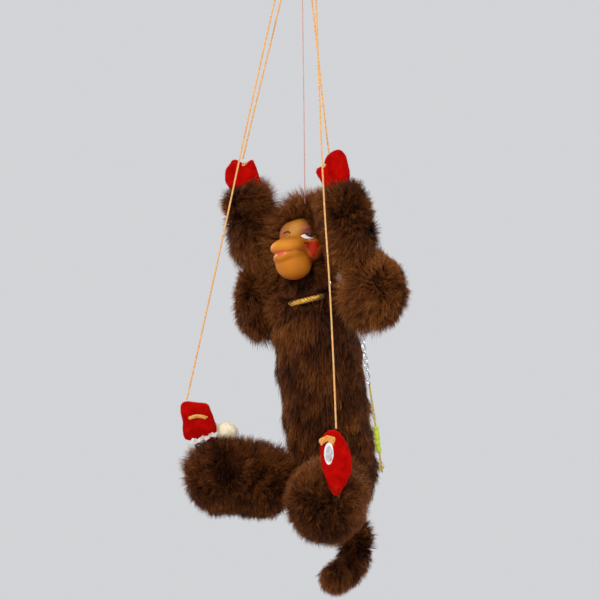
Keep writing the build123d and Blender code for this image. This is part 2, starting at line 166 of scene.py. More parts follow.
# ---------------------------------------------------------------- mesh helpers
def new_object(name, data, materials=()):
    made = bpy.data.objects.new(name, data)
    bpy.context.scene.collection.objects.link(made)
    for item in materials:
        data.materials.append(item)
    return made


def mesh_object(name, points, faces, materials=(), smooth=True):
    data = bpy.data.meshes.new(name)
    data.from_pydata([tuple(p) for p in points], [], [tuple(int(i) for i in f) for f in faces])
    data.polygons.foreach_set("use_smooth", [smooth] * len(data.polygons))
    data.update()
    return new_object(name, data, materials)


def remeshed(piece, voxel, smoothing=6):
    """The piece with an even, closed and smoothed mesh."""
    modifier = piece.modifiers.new("voxels", "REMESH")
    modifier.mode = "VOXEL"
    modifier.voxel_size = voxel
    modifier = piece.modifiers.new("smooth", "SMOOTH")
    modifier.factor = 0.6
    modifier.iterations = smoothing
    data = bpy.data.meshes.new_from_object(piece.evaluated_get(bpy.context.evaluated_depsgraph_get()))
    piece.modifiers.clear()
    piece.data = data
    data.polygons.foreach_set("use_smooth", [True] * len(data.polygons))
    return piece


def node_points(node):
    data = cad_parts[node].data
    flat = np.empty(len(data.vertices) * 3)
    data.vertices.foreach_get("co", flat)
    return flat.reshape(-1, 3)


def hull_skin(name, node):
    """Closed smooth skin round a CAD node."""
    form = bmesh.new()
    for p in node_points(node):
        form.verts.new(p)
    result = bmesh.ops.convex_hull(form, input=form.verts)
    loose = [item for item in result["geom_interior"] + result["geom_unused"] if isinstance(item, bmesh.types.BMVert)]
    bmesh.ops.delete(form, geom=list(set(loose)), context="VERTS")
    data = bpy.data.meshes.new(name)
    form.to_mesh(data)
    form.free()
    return remeshed(new_object(name, data, [HIDE]), 0.003)


def lump(piece, height, scale, seed):
    """Pushes a skin in and out by soft noise along its normals."""
    for vertex, normal in zip(piece.data.vertices, [v.normal.copy() for v in piece.data.vertices]):
        wave = noise.noise(vertex.co / scale + Vector((seed, seed * 0.37, 0)))
        vertex.co += normal * wave * height


# ---------------------------------------------------------------- fur
STRAND_FACES = [(0, 2, 1), (0, 3, 2), (0, 1, 3), (1, 2, 5, 4), (2, 3, 6, 5), (3, 1, 4, 6),
                (4, 5, 7), (5, 6, 7), (6, 4, 7)]
STRAND_POINTS = 8
LONG_SHARE = 0.45                               # of the hairs are long ones


def surface_samples(piece, count):
    """Random points on a mesh, evenly by area, with their normals."""
    data = piece.data
    data.calc_loop_triangles()
    corners = np.array([t.vertices for t in data.loop_triangles])
    points = np.empty(len(data.vertices) * 3)
    data.vertices.foreach_get("co", points)
    points = points.reshape(-1, 3)
    normals = np.array([v.normal for v in data.vertices])
    a, b, c = (points[corners[:, k]] for k in range(3))
    area = np.linalg.norm(np.cross(b - a, c - a), axis=1)
    chosen = random.choice(len(corners), size=count, p=area / area.sum())
    u, v = random.random(count), random.random(count)
    flip = u + v > 1
    u[flip], v[flip] = 1 - u[flip], 1 - v[flip]
    w = 1 - u - v
    place = a[chosen] * w[:, None] + b[chosen] * u[:, None] + c[chosen] * v[:, None]
    na, nb, nc = (normals[corners[chosen, k]] for k in range(3))
    normal = na * w[:, None] + nb * u[:, None] + nc * v[:, None]
    return place, normal / np.linalg.norm(normal, axis=1)[:, None]


def smooth_step(low, high, value):
    t = np.clip((value - low) / (high - low), 0, 1)
    return t * t * (3 - 2 * t)


def around(count):
    """Angles evenly round a circle."""
    return np.linspace(0, 2 * math.pi, count, endpoint=False)


def unit_rows(rows):
    return rows / np.maximum(np.linalg.norm(rows, axis=1), 1e-9)[:, None]


def soft_noise(points, scale, seed):
    return np.array([noise.noise(Vector(p) / scale + Vector((seed, 0, seed))) for p in points])


def strand_mesh(name, rows, radii, tones):
    """One mesh of closed three-sided strands; rows holds the four stations of each strand."""
    count = len(rows[0])
    along = unit_rows(rows[3] - rows[0])
    side = unit_rows(np.cross(along, random.normal(size=(count, 3))))
    other = np.cross(along, side)
    points = np.empty((count, STRAND_POINTS, 3))
    points[:, 0], points[:, 7] = rows[0], rows[3]
    for ring, station in ((1, 1), (4, 2)):
        for corner in range(3):
            turn = 2 * math.pi * corner / 3
            offset = side * math.cos(turn) + other * math.sin(turn)
            points[:, ring + corner] = rows[station] + offset * radii[station - 1][:, None]
    corners = np.concatenate([np.array(f) for f in STRAND_FACES])
    sizes = np.array([len(f) for f in STRAND_FACES])
    starts = np.concatenate([[0], np.cumsum(sizes)[:-1]])
    base = np.arange(count)[:, None]
    data = bpy.data.meshes.new(name)
    data.vertices.add(count * STRAND_POINTS)
    data.vertices.foreach_set("co", points.ravel())
    data.loops.add(count * len(corners))
    data.loops.foreach_set("vertex_index", (base * STRAND_POINTS + corners).ravel().astype(np.int32))
    data.polygons.add(count * len(sizes))
    data.polygons.foreach_set("loop_start", (base * len(corners) + starts).ravel().astype(np.int32))
    data.polygons.foreach_set("loop_total", np.tile(sizes, count).astype(np.int32))
    stations = np.array([0, 0, 0, 1, 1, 1, 2, 2, 2])
    data.polygons.foreach_set("material_index", tones[:, stations].ravel().astype(np.int32))
    data.polygons.foreach_set("use_smooth", [True] * (count * len(sizes)))
    data.update(calc_edges=True)
    return data


def fur(name, skin, count, body, length, comb=(0, 0, -1), lean=0.45, stand=1.0, warm=0.0, keep=None, size=None,
        thickness=0.17, clump=0.5, droop=0.15, slot="fur"):
    """Fur on a skin: short dense hairs under longer, finer and lighter ones, gathered in small tufts, each hair dark at
    the root as painted shade and light at the tip as painted highlight.
    """
    place, normal = surface_samples(skin, count)
    if keep is not None:
        chosen = keep(place, normal)
        place, normal = place[chosen], normal[chosen]
        count = len(place)
    tufts = max(12, count // 16)
    centres = place[random.choice(count, size=tufts, replace=False)]
    tree = kdtree.KDTree(tufts)
    for index, p in enumerate(centres):
        tree.insert(p, index)
    tree.balance()
    tuft = np.array([tree.find(p)[1] for p in place])
    way = comb(place, normal) if callable(comb) else np.tile(np.array(comb, float), (count, 1))
    way = way - normal * np.sum(way * normal, axis=1)[:, None] * 0.75
    swirl = np.stack([soft_noise(centres, 0.014, s) for s in (3.1, 7.7, 12.9)], axis=1)
    swirl = (swirl + random.normal(scale=0.10, size=(tufts, 3)))[tuft]
    long = random.random(count) < LONG_SHARE
    reach = length * MM * random.uniform(0.8, 1.15, tufts)[tuft] * np.where(long, 1.0, 0.68)
    reach = reach * random.uniform(0.75, 1.12, count)
    if size is not None:
        reach = reach * size(place)
    direction = unit_rows(normal * stand + way * lean + swirl * 0.75 + random.normal(scale=0.16, size=(count, 3)))
    fall = np.array([0, 0, -1.0])
    stations = [place + (direction * t + normal * t * (1 - t) * 0.35 + fall * droop * t * t) * reach[:, None]
                for t in (0.0, 0.33, 0.70, 1.0)]
    hits = np.maximum(np.bincount(tuft, minlength=tufts), 1)
    tip = np.stack([np.bincount(tuft, weights=stations[3][:, k], minlength=tufts) / hits for k in range(3)], axis=1)
    for index, pull in ((1, 0.08), (2, 0.35), (3, 0.70)):
        stations[index] = stations[index] + (tip[tuft] - stations[3]) * (pull * clump)
    stations[0] = stations[0] - normal * 0.0008
    shade = soft_noise(centres, 0.024, 21.5)[tuft] * 1.7 + random.normal(scale=0.5, size=count)
    shade += random.normal(scale=0.5, size=tufts)[tuft] + warm
    # each hair is darker at the root and lighter at the tip (painted shade deep in the coat, painted highlight on the
    # tips), over the tone that differs by tuft and by hair; long hairs are lighter too
    tones = np.stack([np.clip(np.round(level + shade + long * extra), 0, 5)
                      for level, extra in ((0.5, 0.0), (1.6, 0.3), (2.5, 0.7))], axis=1)
    width = thickness * MM * random.uniform(0.7, 1.25, count) * np.where(long, 0.8, 1.1)
    made = new_object(name, strand_mesh(name, stations, (width, width * 0.72), tones), FUR_TONES)
    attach(made, body)
    return made


# ---------------------------------------------------------------- lines, strands and knots
def route(points):
    """Points along the NURBS spline that has these control points."""
    data = bpy.data.curves.new("route", "CURVE")
    data.dimensions = "3D"
    data.resolution_u = 24
    spline = data.splines.new("NURBS")
    spline.points.add(len(points) - 1)
    for item, p in zip(spline.points, points):
        item.co = (*p, 1)
    spline.order_u = 3
    spline.use_endpoint_u = True
    holder = new_object("route", data)
    bpy.context.view_layer.update()
    line = bpy.data.meshes.new_from_object(holder.evaluated_get(bpy.context.evaluated_depsgraph_get()))
    places = np.array([v.co[:] for v in line.vertices])
    bpy.data.objects.remove(holder)
    bpy.data.curves.remove(data)
    bpy.data.meshes.remove(line)
    return places


def evenly(line, step):
    """The same line with points a step apart."""
    reach = np.concatenate([[0], np.cumsum(np.linalg.norm(np.diff(line, axis=0), axis=1))])
    at = np.linspace(0, reach[-1], max(3, int(reach[-1] / step) + 1))
    return np.stack([np.interp(at, reach, line[:, k]) for k in range(3)], axis=1)


def frames_along(line):
    """Two unit directions square to the line at each of its points, turning as little as they can."""
    along = unit_rows(np.gradient(line, axis=0))
    side = np.cross(along[0], (0.31, 0.17, 0.93))
    sides = []
    for direction in along:
        side = side - direction * (side @ direction)
        side = side / np.linalg.norm(side)
        sides.append(side)
    sides = np.array(sides)
    return sides, np.cross(along, sides)


class Form:
    """Points and faces of one mesh that is built up from tubes, balls and grids."""

    def __init__(self):
        self.points, self.faces, self.tones = [], [], []

    def grid(self, rows, closed=False):
        """Quads between rings of points; open ends get a flat cap."""
        base, count, width = len(self.points), len(rows), len(rows[0])
        faces = []
        for r in range(count if closed else count - 1):
            for c in range(width):
                a, b = r * width + c, r * width + (c + 1) % width
                d, e = (r + 1) % count * width + c, (r + 1) % count * width + (c + 1) % width
                faces.append((a, b, e, d))
        if not closed:
            faces.append(tuple(reversed(range(width))))
            faces.append(tuple(range((count - 1) * width, count * width)))
        self.points.extend(tuple(p) for row in rows for p in row)
        self.faces.extend(tuple(base + i for i in face) for face in faces)
        self.tones.extend([0] * len(faces))

    def tube(self, line, radius, corners=8, closed=False):
        """Round tube along a line; radius is one number or one for each point."""
        line = np.asarray(line, float)
        if closed:
            doubled = np.concatenate([line[-3:], line, line[:3]])
            sides, others = (f[3:-3] for f in frames_along(doubled))
        else:
            sides, others = frames_along(line)
        radius = np.broadcast_to(radius, len(line))
        turns = around(corners)
        rows = [[p + (s * math.cos(t) + o * math.sin(t)) * r for t in turns]
                for p, s, o, r in zip(line, sides, others, radius)]
        self.grid(rows, closed)

    def plies(self, line, count, spread, radius, pitch, closed=False, corners=6):
        """Strands twisted round each other along a line."""
        sides, others = frames_along(line)
        reach = np.concatenate([[0], np.cumsum(np.linalg.norm(np.diff(line, axis=0), axis=1))])
        if closed:
            pitch = reach[-1] / max(1, round(reach[-1] / pitch))
        for number in range(count):
            turn = 2 * math.pi * (reach / pitch + number / count)
            strand = line + (sides * np.cos(turn)[:, None] + others * np.sin(turn)[:, None]) * spread
            self.tube(strand, radius, corners, closed)

    def ball(self, centre, radii, rings=10, corners=14, axes=np.eye(3)):
        """Closed ellipsoid, its axes given as three rows where it is turned."""
        axes = np.array(axes, float)
        rows = []
        for r in range(rings + 1):
            lift = math.pi * (r + 0.02) / (rings + 0.04)
            rows.append([np.array(centre) + (np.array([math.sin(lift) * math.cos(t), math.sin(lift) * math.sin(t),
                                                      math.cos(lift)]) * radii) @ axes
                         for t in around(corners)])
        self.grid(rows)

    def make(self, name, materials, body, slot=None, smooth=True):
        made = mesh_object(name, self.points, self.faces, materials, smooth)
        made.data.polygons.foreach_set("material_index", self.tones)
        form = bmesh.new()
        form.from_mesh(made.data)
        bmesh.ops.recalc_face_normals(form, faces=form.faces)
        form.to_mesh(made.data)
        form.free()
        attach(made, body)
        return made


def trefoil(centre, radii):
    """Line of a small overhand knot."""
    wide, high, deep = radii
    return [centre + Vector((math.cos(3 * t) * wide, math.sin(2 * t) * high, math.sin(3 * t + 0.6) * deep))
            for t in around(60)]


def at(across, up, depth=0.0, turn=UP):
    """Offset in metres from millimetres across, up and towards the view."""
    return (ACROSS_VIEW * across + turn * up + TOWARDS_VIEW * depth) * MM


# ---------------------------------------------------------------- camera, then the cords
camera_data = bpy.data.cameras.new("camera")
camera = bpy.data.objects.new("camera", camera_data)
bpy.context.scene.collection.objects.link(camera)
bpy.context.scene.camera = camera
VIEW_DISTANCE, VIEW_WIDTH = 2.6, 0.510
camera_data.sensor_width = 36
camera_data.lens = 36 * VIEW_DISTANCE / VIEW_WIDTH
aim = ACROSS_VIEW * -0.00255 + UP * -0.30175
camera.location = aim + TOWARDS_VIEW * VIEW_DISTANCE
camera.rotation_euler = (camera.location - aim).to_track_quat("Z", "Y").to_euler()

BAR_TOP, BAR_Y, HAND_HOLE, FOOT_HOLE = -0.026, -0.008, 0.0115, 0.0180
STRING_ENDS = {
    "right_hand": (-HAND_HOLE, (-61.7, -2, -180)), "right_foot": (-FOOT_HOLE, (-69.0, -72.5, -385.6)),
    "left_hand": (HAND_HOLE, (38, -16.5, -178)), "left_foot": (FOOT_HOLE, (79.5, -66.5, -407)),
}
# a little slack on the way down: how far along, and how far to the side in millimetres
STRING_BOW = {
    "right_hand": ((0.35, 0.5), (0.7, -0.4)), "right_foot": ((0.3, -0.8), (0.7, 0.6)),
    "left_hand": ((0.4, 0.5), (0.75, -0.5)), "left_foot": ((0.28, -1.0), (0.5, -1.6), (0.75, 0.8)),
}
STRING_STEP = 0.0006


def cord_line(top, end, bows):
    """Straight string with small given offsets sideways."""
    top, end = Vector(top), Vector(end)
    return [top, *[top.lerp(end, share) + ACROSS_VIEW * side * MM for share, side in bows], end]


for name, (hole, end) in STRING_ENDS.items():
    end = Vector(end) * MM
    exit_point = Vector((hole, BAR_Y, BAR_TOP))
    rise = (exit_point - end).normalized()
    line = evenly(route(cord_line(exit_point + rise * 0.0022, end, STRING_BOW[name])), STRING_STEP)
    form = Form()
    form.plies(line, 3, 0.00036, 0.00044, 0.0042)
    string = form.make(f"{name}_cord", [STRING], f"{name}_line", "puppet_string")
    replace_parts(string, f"{name}_string")
    form = Form()
    form.tube(trefoil(exit_point + rise * 0.0024, (0.0012, 0.0012, 0.0011)), 0.0007, 8, closed=True)
    knot = form.make(f"{name}_top_knot", [STRING], f"{name}_line", "puppet_string")

low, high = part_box("head_string")
THREAD_TOP, THREAD_END = Vector((0, -0.001, high.z - 0.0015)), Vector((0, 0.003, low.z))
line = evenly(route(cord_line(THREAD_TOP, THREAD_END, ((0.5, 0.3),))), STRING_STEP)
form = Form()
form.plies(line, 2, 0.00026, 0.00030, 0.003)
form.ball(THREAD_TOP, (0.0014, 0.0014, 0.0013))
thread = form.make("head_cord", [THREAD], "puppet_root", "head_thread")
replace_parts(thread, "head_string")

# leash: links, cord, sleeve and end knot along one hanging line
LEASH_TOP, LEASH_END = Vector((0.044, 0.018, -0.308)), Vector((0.050, 0.045, -0.443))
LEASH_WAY = (LEASH_END - LEASH_TOP).normalized()
LINK_PITCH, LINKS, LINK_REACH = 0.004, 17, 0.0026
form = Form()
across = Vector((0, 1, 0)).cross(LEASH_WAY).normalized()
for number in range(LINKS):
    centre = LEASH_TOP + LEASH_WAY * LINK_PITCH * number
    turn = math.radians(90 * (number % 2) + random.uniform(-14, 14) + 20)
    side = (across * math.cos(turn) + LEASH_WAY.cross(across) * math.sin(turn)).normalized()
    out = side.cross(LEASH_WAY)
    loop = []
    for t in around(26):
        twist = 0.55 * math.sin(t)
        loop.append(centre + LEASH_WAY * (0.0030 * math.sin(t)) + side * (0.0018 * math.cos(t) * math.cos(twist))
                    + out * (0.0018 * math.cos(t) * math.sin(twist)))
    form.tube(loop, 0.00052, 8, closed=True)
chain = form.make("leash_links", [CHROME], "leash", "chain_metal")
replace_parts(chain, "leash_chain")

cord_start = LEASH_TOP + LEASH_WAY * (LINK_PITCH * (LINKS - 1) + LINK_REACH + 0.0005)
line = evenly(route([cord_start, cord_start.lerp(LEASH_END, 0.45) + ACROSS_VIEW * 0.0004, LEASH_END]), STRING_STEP)
form = Form()
form.plies(line, 3, 0.00042, 0.00048, 0.0045)
leash_cord = form.make("leash_twine", [LEASH_CORD], "leash", "leash_cord")
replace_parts(leash_cord, "leash_cord")
form = Form()
sleeve_start = LEASH_TOP + LEASH_WAY * 0.103
stations = np.linspace(0, 0.023, 34)
wrap = 0.0023 + 0.00022 * np.sin(stations * 2 * math.pi / 0.0046) + 0.0001 * np.sin(stations * 900)
wrap[0] = wrap[-1] = 0.0018
form.tube([sleeve_start + LEASH_WAY * s + ACROSS_VIEW * 0.0003 * math.sin(s * 300) for s in stations], wrap, 20)
sleeve = form.make("leash_tube", [NEON], "leash", "neon_sleeve")
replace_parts(sleeve, "leash_sleeve")
form = Form()
knot_at = LEASH_END + LEASH_WAY * 0.0017
form.tube(trefoil(knot_at, (0.0013, 0.0012, 0.0012)), 0.0007, 8, closed=True)
for turn in (-0.5, 0.1, 0.6):
    form.tube([knot_at, knot_at + LEASH_WAY * 0.0022 + ACROSS_VIEW * 0.0004 * turn,
               knot_at + LEASH_WAY * 0.0042 + ACROSS_VIEW * 0.0013 * turn], (0.0004, 0.00035, 0.0002), 6)
leash_knot = form.make("leash_end_knot", [LEASH_CORD], "leash", "leash_cord")
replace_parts(leash_knot, "leash_knot")

# ---------------------------------------------------------------- CAD parts that stay
for node, finish in {
    "control_upright": WOOD, "control_crossbar": CROSS_WOOD, "head_string_eye": BRASS, "neck_dowel": DOWEL,
    "shoulder_wire": BOUND_WIRE, "hip_wire": BOUND_WIRE, "tail_staple": BOUND_WIRE, "tail_wire": BOUND_WIRE,
    **{f"{side}_{part}_wire": BOUND_WIRE for side in SIDES for part in ("upper_arm", "forearm", "leg", "foot")},
}.items():
    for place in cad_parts[node].material_slots:
        place.material = finish

# ---------------------------------------------------------------- fur limbs and torso
STRANDS_EACH = 15500


def fur_piece(name, nodes, body, inset, count, rough, skin=None, **coat):
    """A stuffed hide in the place of its CAD nodes, with long fur on it."""
    hide = skin or hull_skin(f"{name}_hide", nodes[0])
    for vertex, normal in zip(hide.data.vertices, [v.normal.copy() for v in hide.data.vertices]):
        vertex.co -= normal * inset * MM
    lump(hide, rough * MM, 0.016, len(name) * 1.7)
    hide.data.materials.clear()
    hide.data.materials.append(HIDE)
    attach(hide, body)
    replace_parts(hide, *nodes)
    batches = max(1, math.ceil(count / STRANDS_EACH - 0.01))
    for number in range(batches):
        fur(f"{name}_fur_{number + 1}", hide, count // batches, body, **coat)
    return hide


def line_distance(place, start, end):
    start, along = np.array(start), np.array(end - start)
    share = np.clip((place - start) @ along / (along @ along), 0, 1)
    return np.linalg.norm(place - start - share[:, None] * along, axis=1)


def collar_turn(place):
    """Angle round the neck from the front towards the monkey's left, in degrees."""
    return np.degrees(np.arctan2(place[:, 0], -(place[:, 1] - 0.014)))


COLLAR_SHOWS = (-3, 50)                       # where the fur is parted over the braid


def torso_comb(place, normal):
    """Fur lies down the body, stands up round the neck, and hides the collar except in front."""
    way = np.tile(np.array([0, 0, -1.0]), (len(place), 1))
    turn = collar_turn(place)
    shown = (turn > COLLAR_SHOWS[0]) & (turn < COLLAR_SHOWS[1])
    high = place[:, 2] > np.where(shown, -0.298, -0.316)
    way[high] = (0, 0, 1.3)
    return way


def torso_size(place):
    """Shorter fur under the leash and just below the braid where it shows."""
    leash = smooth_step(0.014, 0.034, line_distance(place, LEASH_TOP, LEASH_END))
    turn = collar_turn(place)
    below = (turn > COLLAR_SHOWS[0]) & (turn < COLLAR_SHOWS[1]) & (place[:, 2] > -0.309) & (place[:, 2] < -0.297)
    ruff = smooth_step(-0.306, -0.290, place[:, 2]) * np.where(np.abs(turn - 18) < 50, 0.25, 1.3)
    hem = 0.5 * smooth_step(-0.466, -0.474, place[:, 2])
    return (0.45 + 0.55 * leash) * np.where(below, 0.4, 1.0) * (1 + ruff + hem)


fur_piece("torso", ["torso_fur", "torso_stuffing"], "puppet_root", 2.0, 46500, 2.4, length=14.5, comb=torso_comb,
          lean=1.25, stand=0.62, size=torso_size, warm=0.15, clump=0.6, droop=0.3)
form = Form()
stations = np.linspace(0, 1, 9)
form.tube([Vector((0, 0.008, -0.290 + 0.020 * t)) for t in stations], 0.0095 - 0.002 * stations, 24)
neck = form.make("neck_hide", [HIDE], "puppet_root", "fur")
fur("neck_fur", neck, 9000, "puppet_root", length=19.0, comb=(0, 0, -0.3), lean=0.4, stand=1.0, warm=-0.2,
    keep=lambda place, normal: normal[:, 1] > -0.7, droop=0.25, clump=0.3)


def node_middle(node, axis):
    low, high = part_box(node)
    return (low[axis] + high[axis]) / 2


def both_ways(node, across, push, turnover=0.012):
    """Fur parts at the middle of a limb and lies out over both of its ends."""
    middle = node_middle(node, 2)

    def comb(place, normal):
        way = np.tile(np.array(across, float), (len(place), 1))
        way[:, 2] += push * np.tanh((place[:, 2] - middle) / turnover)
        return way
    return comb


def longer_inside(node, outer, inner):
    """Fur length over a limb: shorter on the side away from the body."""
    middle = node_middle(node, 0)
    side = 1 if middle > 0 else -1

    def size(place):
        return inner + (outer - inner) * smooth_step(-0.012, 0.010, side * (place[:, 0] - middle))
    return size


def longer_on_top(node, low, high):
    """Fur length over a leg: longest where it covers the ankle."""
    middle = node_middle(node, 2)
    return lambda place: low + (high - low) * smooth_step(middle - 0.012, middle + 0.022, place[:, 2])


FUR_WAY = {
    # side: upper arm, forearm and leg: the way the fur leans
    "right": ((0.35, 0.0, -0.1), (0.65, 0.2, 0.0), (0.1, 0, 0.1)),
    "left": ((-0.35, -0.1, 0.1), (-0.55, -0.2, 0.0), (0, 0, 0.1)),
}
tail_skin = remeshed(new_object("tail_hide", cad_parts["tail_fur"].data.copy()), 0.0022, 3)
fur_piece("tail", ["tail_fur"], "tail", 1.0, 12500, 0.8, skin=tail_skin, length=8.5,
          comb=both_ways("tail_fur", (0, 0, -0.3), 1.3), lean=0.6, stand=0.85, warm=0.15,
          size=longer_on_top("tail_fur", 1.25, 1.7))
for side in SIDES:
    far = side == "right"
    upper_way, fore_way, leg_way = FUR_WAY[side]
    upper, fore, leg = (f"{side}_{part}" for part in ("upper_arm", "forearm", "leg"))
    fur_piece(upper, [f"{upper}_fur", f"{upper}_stuffing"], upper, 1.0, 13000 if far else 15500, 1.6, length=15.5,
              comb=both_ways(f"{upper}_fur", upper_way, 1.1), lean=0.6, stand=0.9, warm=0.25 if far else 0.75,
              clump=0.4, size=longer_inside(f"{upper}_fur", 0.72, 1.5))
    fur_piece(fore, [f"{fore}_fur", f"{fore}_stuffing"], fore, 0.5, 15500, 1.4, length=16.5,
              comb=both_ways(f"{fore}_fur", fore_way, 1.1), lean=0.6, stand=0.9, warm=0.3 if far else 0.0,
              clump=0.4, size=longer_inside(f"{fore}_fur", 0.78, 1.35 if far else 0.95))
    fur_piece(leg, [f"{leg}_fur", f"{leg}_stuffing"], leg, 3.0, 31000, 2.0, length=14.5,
              comb=both_ways(f"{leg}_fur", leg_way, 1.2, 0.025), lean=0.6, stand=0.9, warm=-0.3 if far else 0.15,
              size=longer_on_top(f"{leg}_fur", 0.78 if far else 0.9, 1.45 if far else 1.2))

# ---------------------------------------------------------------- head fur
FACE_EDGE = np.array((0, -9, -256)) * MM


def off_face(place, normal):
    """True where the hide isn't under the rubber face."""
    x = place[:, 0] / 0.0180
    z = (place[:, 2] - FACE_EDGE[2]) / 0.0210
    return (x**2 + z**2 > 1) | (place[:, 1] > 0.010)


def head_comb(place, normal):
    """Fur rays out from the face, up over the crown and down behind."""
    way = place - FACE_EDGE
    way[:, 1] = -0.004
    way[:, 2] += 0.008
    way[place[:, 2] < -0.268] = (0, 0, -0.03)
    return unit_rows(way)


def head_size(place):
    """Longest on the crown and cheeks."""
    cheeks = smooth_step(0.010, 0.022, np.abs(place[:, 0])) * smooth_step(-0.226, -0.240, place[:, 2])
    return 0.9 + 0.2 * smooth_step(-0.250, -0.226, place[:, 2]) + 0.35 * cheeks


fur_piece("head", ["head_fur", "head_stuffing"], "head", -0.5, 26000, 0.8, length=22.5, comb=head_comb, lean=0.35,
          stand=1.0, warm=0.55, keep=off_face, size=head_size, droop=0.08, clump=0.25)


# ---------------------------------------------------------------- rubber face
FACE_PARTS = [
    # centre, radii (mm), softness of the join with what stands before it
    ((0, 1, -252.5), (20.0, 12, 20), 0), ((-2, -5, -241.5), (12.5, 7, 6.5), 6), ((11, -5, -257), (8.5, 7, 9), 6),
    ((-11, -5, -257), (8.5, 7, 9), 6), ((-10, -6, -246), (8.0, 7, 8), 5), ((0, -9, -249), (5.0, 7, 9), 5),
    ((0, -13.5, -253.9), (12.6, 15.6, 6.8), 5),
]
JAW_PARTS = [((0, -14, -270.8), (15.2, 15.8, 14.0), 0)]
JAW_JOIN = 1.0
# lip rolls: centre, half width and half depth of the roll's middle line, its radius
UPPER_LIP, LOWER_LIP = ((0, -20.3, -256.9), 10.6, 11.8, 4.9), ((0, -19.0, -264.1), 9.8, 11.2, 3.9)
MOUTH_SLANT = 0.16                              # the mouth rises towards the monkey's left
FACE_POLE = np.array((0, -6, -261.5))


def ellipsoid_distance(points, centre, radii):
    away = (points - np.array(centre)) / np.array(radii)
    first = np.linalg.norm(away, axis=1)
    second = np.linalg.norm(away / np.array(radii), axis=1)
    return first * (first - 1) / np.maximum(second, 1e-6)


def roll_distance(points, roll, fall, drop):
    """Distance from a lip: a round roll that is bent round the mouth and drops towards the front."""
    centre, wide, deep, radius = roll
    x, y, z = (points - np.array(centre)).T
    front = smooth_step(2, -12, y)
    level = fall * front + drop * (1 - smooth_step(0, 10, x)) * front + MOUTH_SLANT * x
    ring = (np.hypot(x / wide, y / deep) - 1) * (wide + deep) / 2
    taper = radius * (0.62 + 0.38 * smooth_step(6, -8, y))
    return np.hypot(ring, z - level) - taper


def joined(first, second, soft):
    if soft <= 0:
        return np.minimum(first, second)
    share = np.clip(0.5 + 0.5 * (first - second) / soft, 0, 1)
    return first * (1 - share) + second * share - soft * share * (1 - share)


def lips_distance(points):
    return roll_distance(points, UPPER_LIP, -0.6, 0.9), roll_distance(points, LOWER_LIP, 0.6, -1.4)


def face_distance(points):
    upper, lower = lips_distance(points)
    total = None
    for group, lip, soft_lip in ((FACE_PARTS, upper, 6.0), (JAW_PARTS, lower, 3.2)):
        part = None
        for centre, radii, soft in group:
            d = ellipsoid_distance(points, centre, radii)
            part = d if part is None else joined(part, d, soft)
        part = joined(part, lip, soft_lip)
        total = part if total is None else joined(total, part, JAW_JOIN)
    return total


def face_reach(directions):
    """How far rays from the pole go before they leave the face, in millimetres."""
    reach = np.full(len(directions), 62.0)
    for _ in range(110):
        reach -= 0.7 * face_distance(FACE_POLE + directions * reach[:, None])
        reach = np.clip(reach, 2, 62)
    return reach


TURNS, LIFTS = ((220, 150))
turn, lift = np.meshgrid(around(TURNS), np.linspace(-math.pi / 2 + 0.01, math.pi / 2 - 0.01, LIFTS))
rays = np.stack([np.sin(turn) * np.cos(lift), -np.cos(turn) * np.cos(lift), np.sin(lift)], axis=-1).reshape(-1, 3)
skin = FACE_POLE + rays * face_reach(rays)[:, None]
upper, lower = lips_distance(skin)
slanted = skin[:, 2] - MOUTH_SLANT * skin[:, 0]
in_mouth = (np.minimum(upper, lower) > 0.25) & (np.abs(slanted + 261.0) < 3.6) & (skin[:, 1] < -15)
in_mouth |= (lower < upper) & (slanted > -264.9) & (skin[:, 1] < -24) & (skin[:, 0] < 5.5)
in_mouth |= (upper < lower) & (slanted < -260.6) & (skin[:, 1] < -24) & (np.abs(skin[:, 0]) < 6)
# faces in the crease where the two lips meet take the third material, which is painted shade
crease = (np.abs(upper - lower) < 0.32) & (np.minimum(upper, lower) < 1.2) & (skin[:, 1] < -9) & ~in_mouth
marked = np.where(crease, 2, in_mouth)
form = Form()
form.grid([list(row) for row in (skin * MM).reshape(LIFTS, TURNS, 3)])
form.tones = [int(min(marked[r * TURNS + c], marked[r * TURNS + (c + 1) % TURNS]))
              for r in range(LIFTS - 1) for c in range(TURNS)] + [0, 0]


def vector_node(made, source, operation, value=None):
    """Vector maths on a socket, with a fixed second vector."""
    node = add_node(made, "ShaderNodeVectorMath", operation=operation)
    wire(made, source, node.inputs[0])
    if value is not None:
        node.inputs[1].default_value = value
    return node


def fade_node(made, source, none, full):
    """0 to 1 softly, as the source goes from none to full."""
    fade = add_node(made, "ShaderNodeMapRange", interpolation_type="SMOOTHSTEP")
    fade.inputs["From Min"].default_value, fade.inputs["From Max"].default_value = none, full
    wire(made, source, fade.inputs["Value"])
    return fade.outputs["Result"]


def away_from(made, centre):
    place = add_node(made, "ShaderNodeTexCoord").outputs["Object"]
    return vector_node(made, place, "SUBTRACT", Vector(centre) * MM).outputs[0]


def spot(made, centre, radii, soft):
    """1 inside an ellipsoid given in millimetres, falling to 0 over soft times its radius."""
    scaled = vector_node(made, away_from(made, centre), "DIVIDE", Vector(radii) * MM).outputs[0]
    return fade_node(made, vector_node(made, scaled, "LENGTH").outputs["Value"], 1 + soft / 2, 1 - soft / 2)


def edge_mask(made, normal, through, soft):
    """1 on the side of a plane that its normal points to; soft is in millimetres."""
    height = vector_node(made, away_from(made, through), "DOT_PRODUCT", Vector(normal).normalized())
    return fade_node(made, height.outputs["Value"], -soft / 2 * MM, soft / 2 * MM)


def multiplied(made, first, *others):
    for other in others:
        node = add_node(made, "ShaderNodeMath", operation="MULTIPLY")
        wire(made, first, node.inputs[0])
        if isinstance(other, float):
            node.inputs[1].default_value = other
        else:
            wire(made, other, node.inputs[1])
        first = node.outputs[0]
    return first


def painted(made, under, colour, mask):
    node = add_node(made, "ShaderNodeMix", data_type="RGBA")
    wire(made, mask, node.inputs["Factor"])
    wire(made, under, node.inputs["A"])
    node.inputs["B"].default_value = (*colour, 1)
    return node.outputs["Result"]


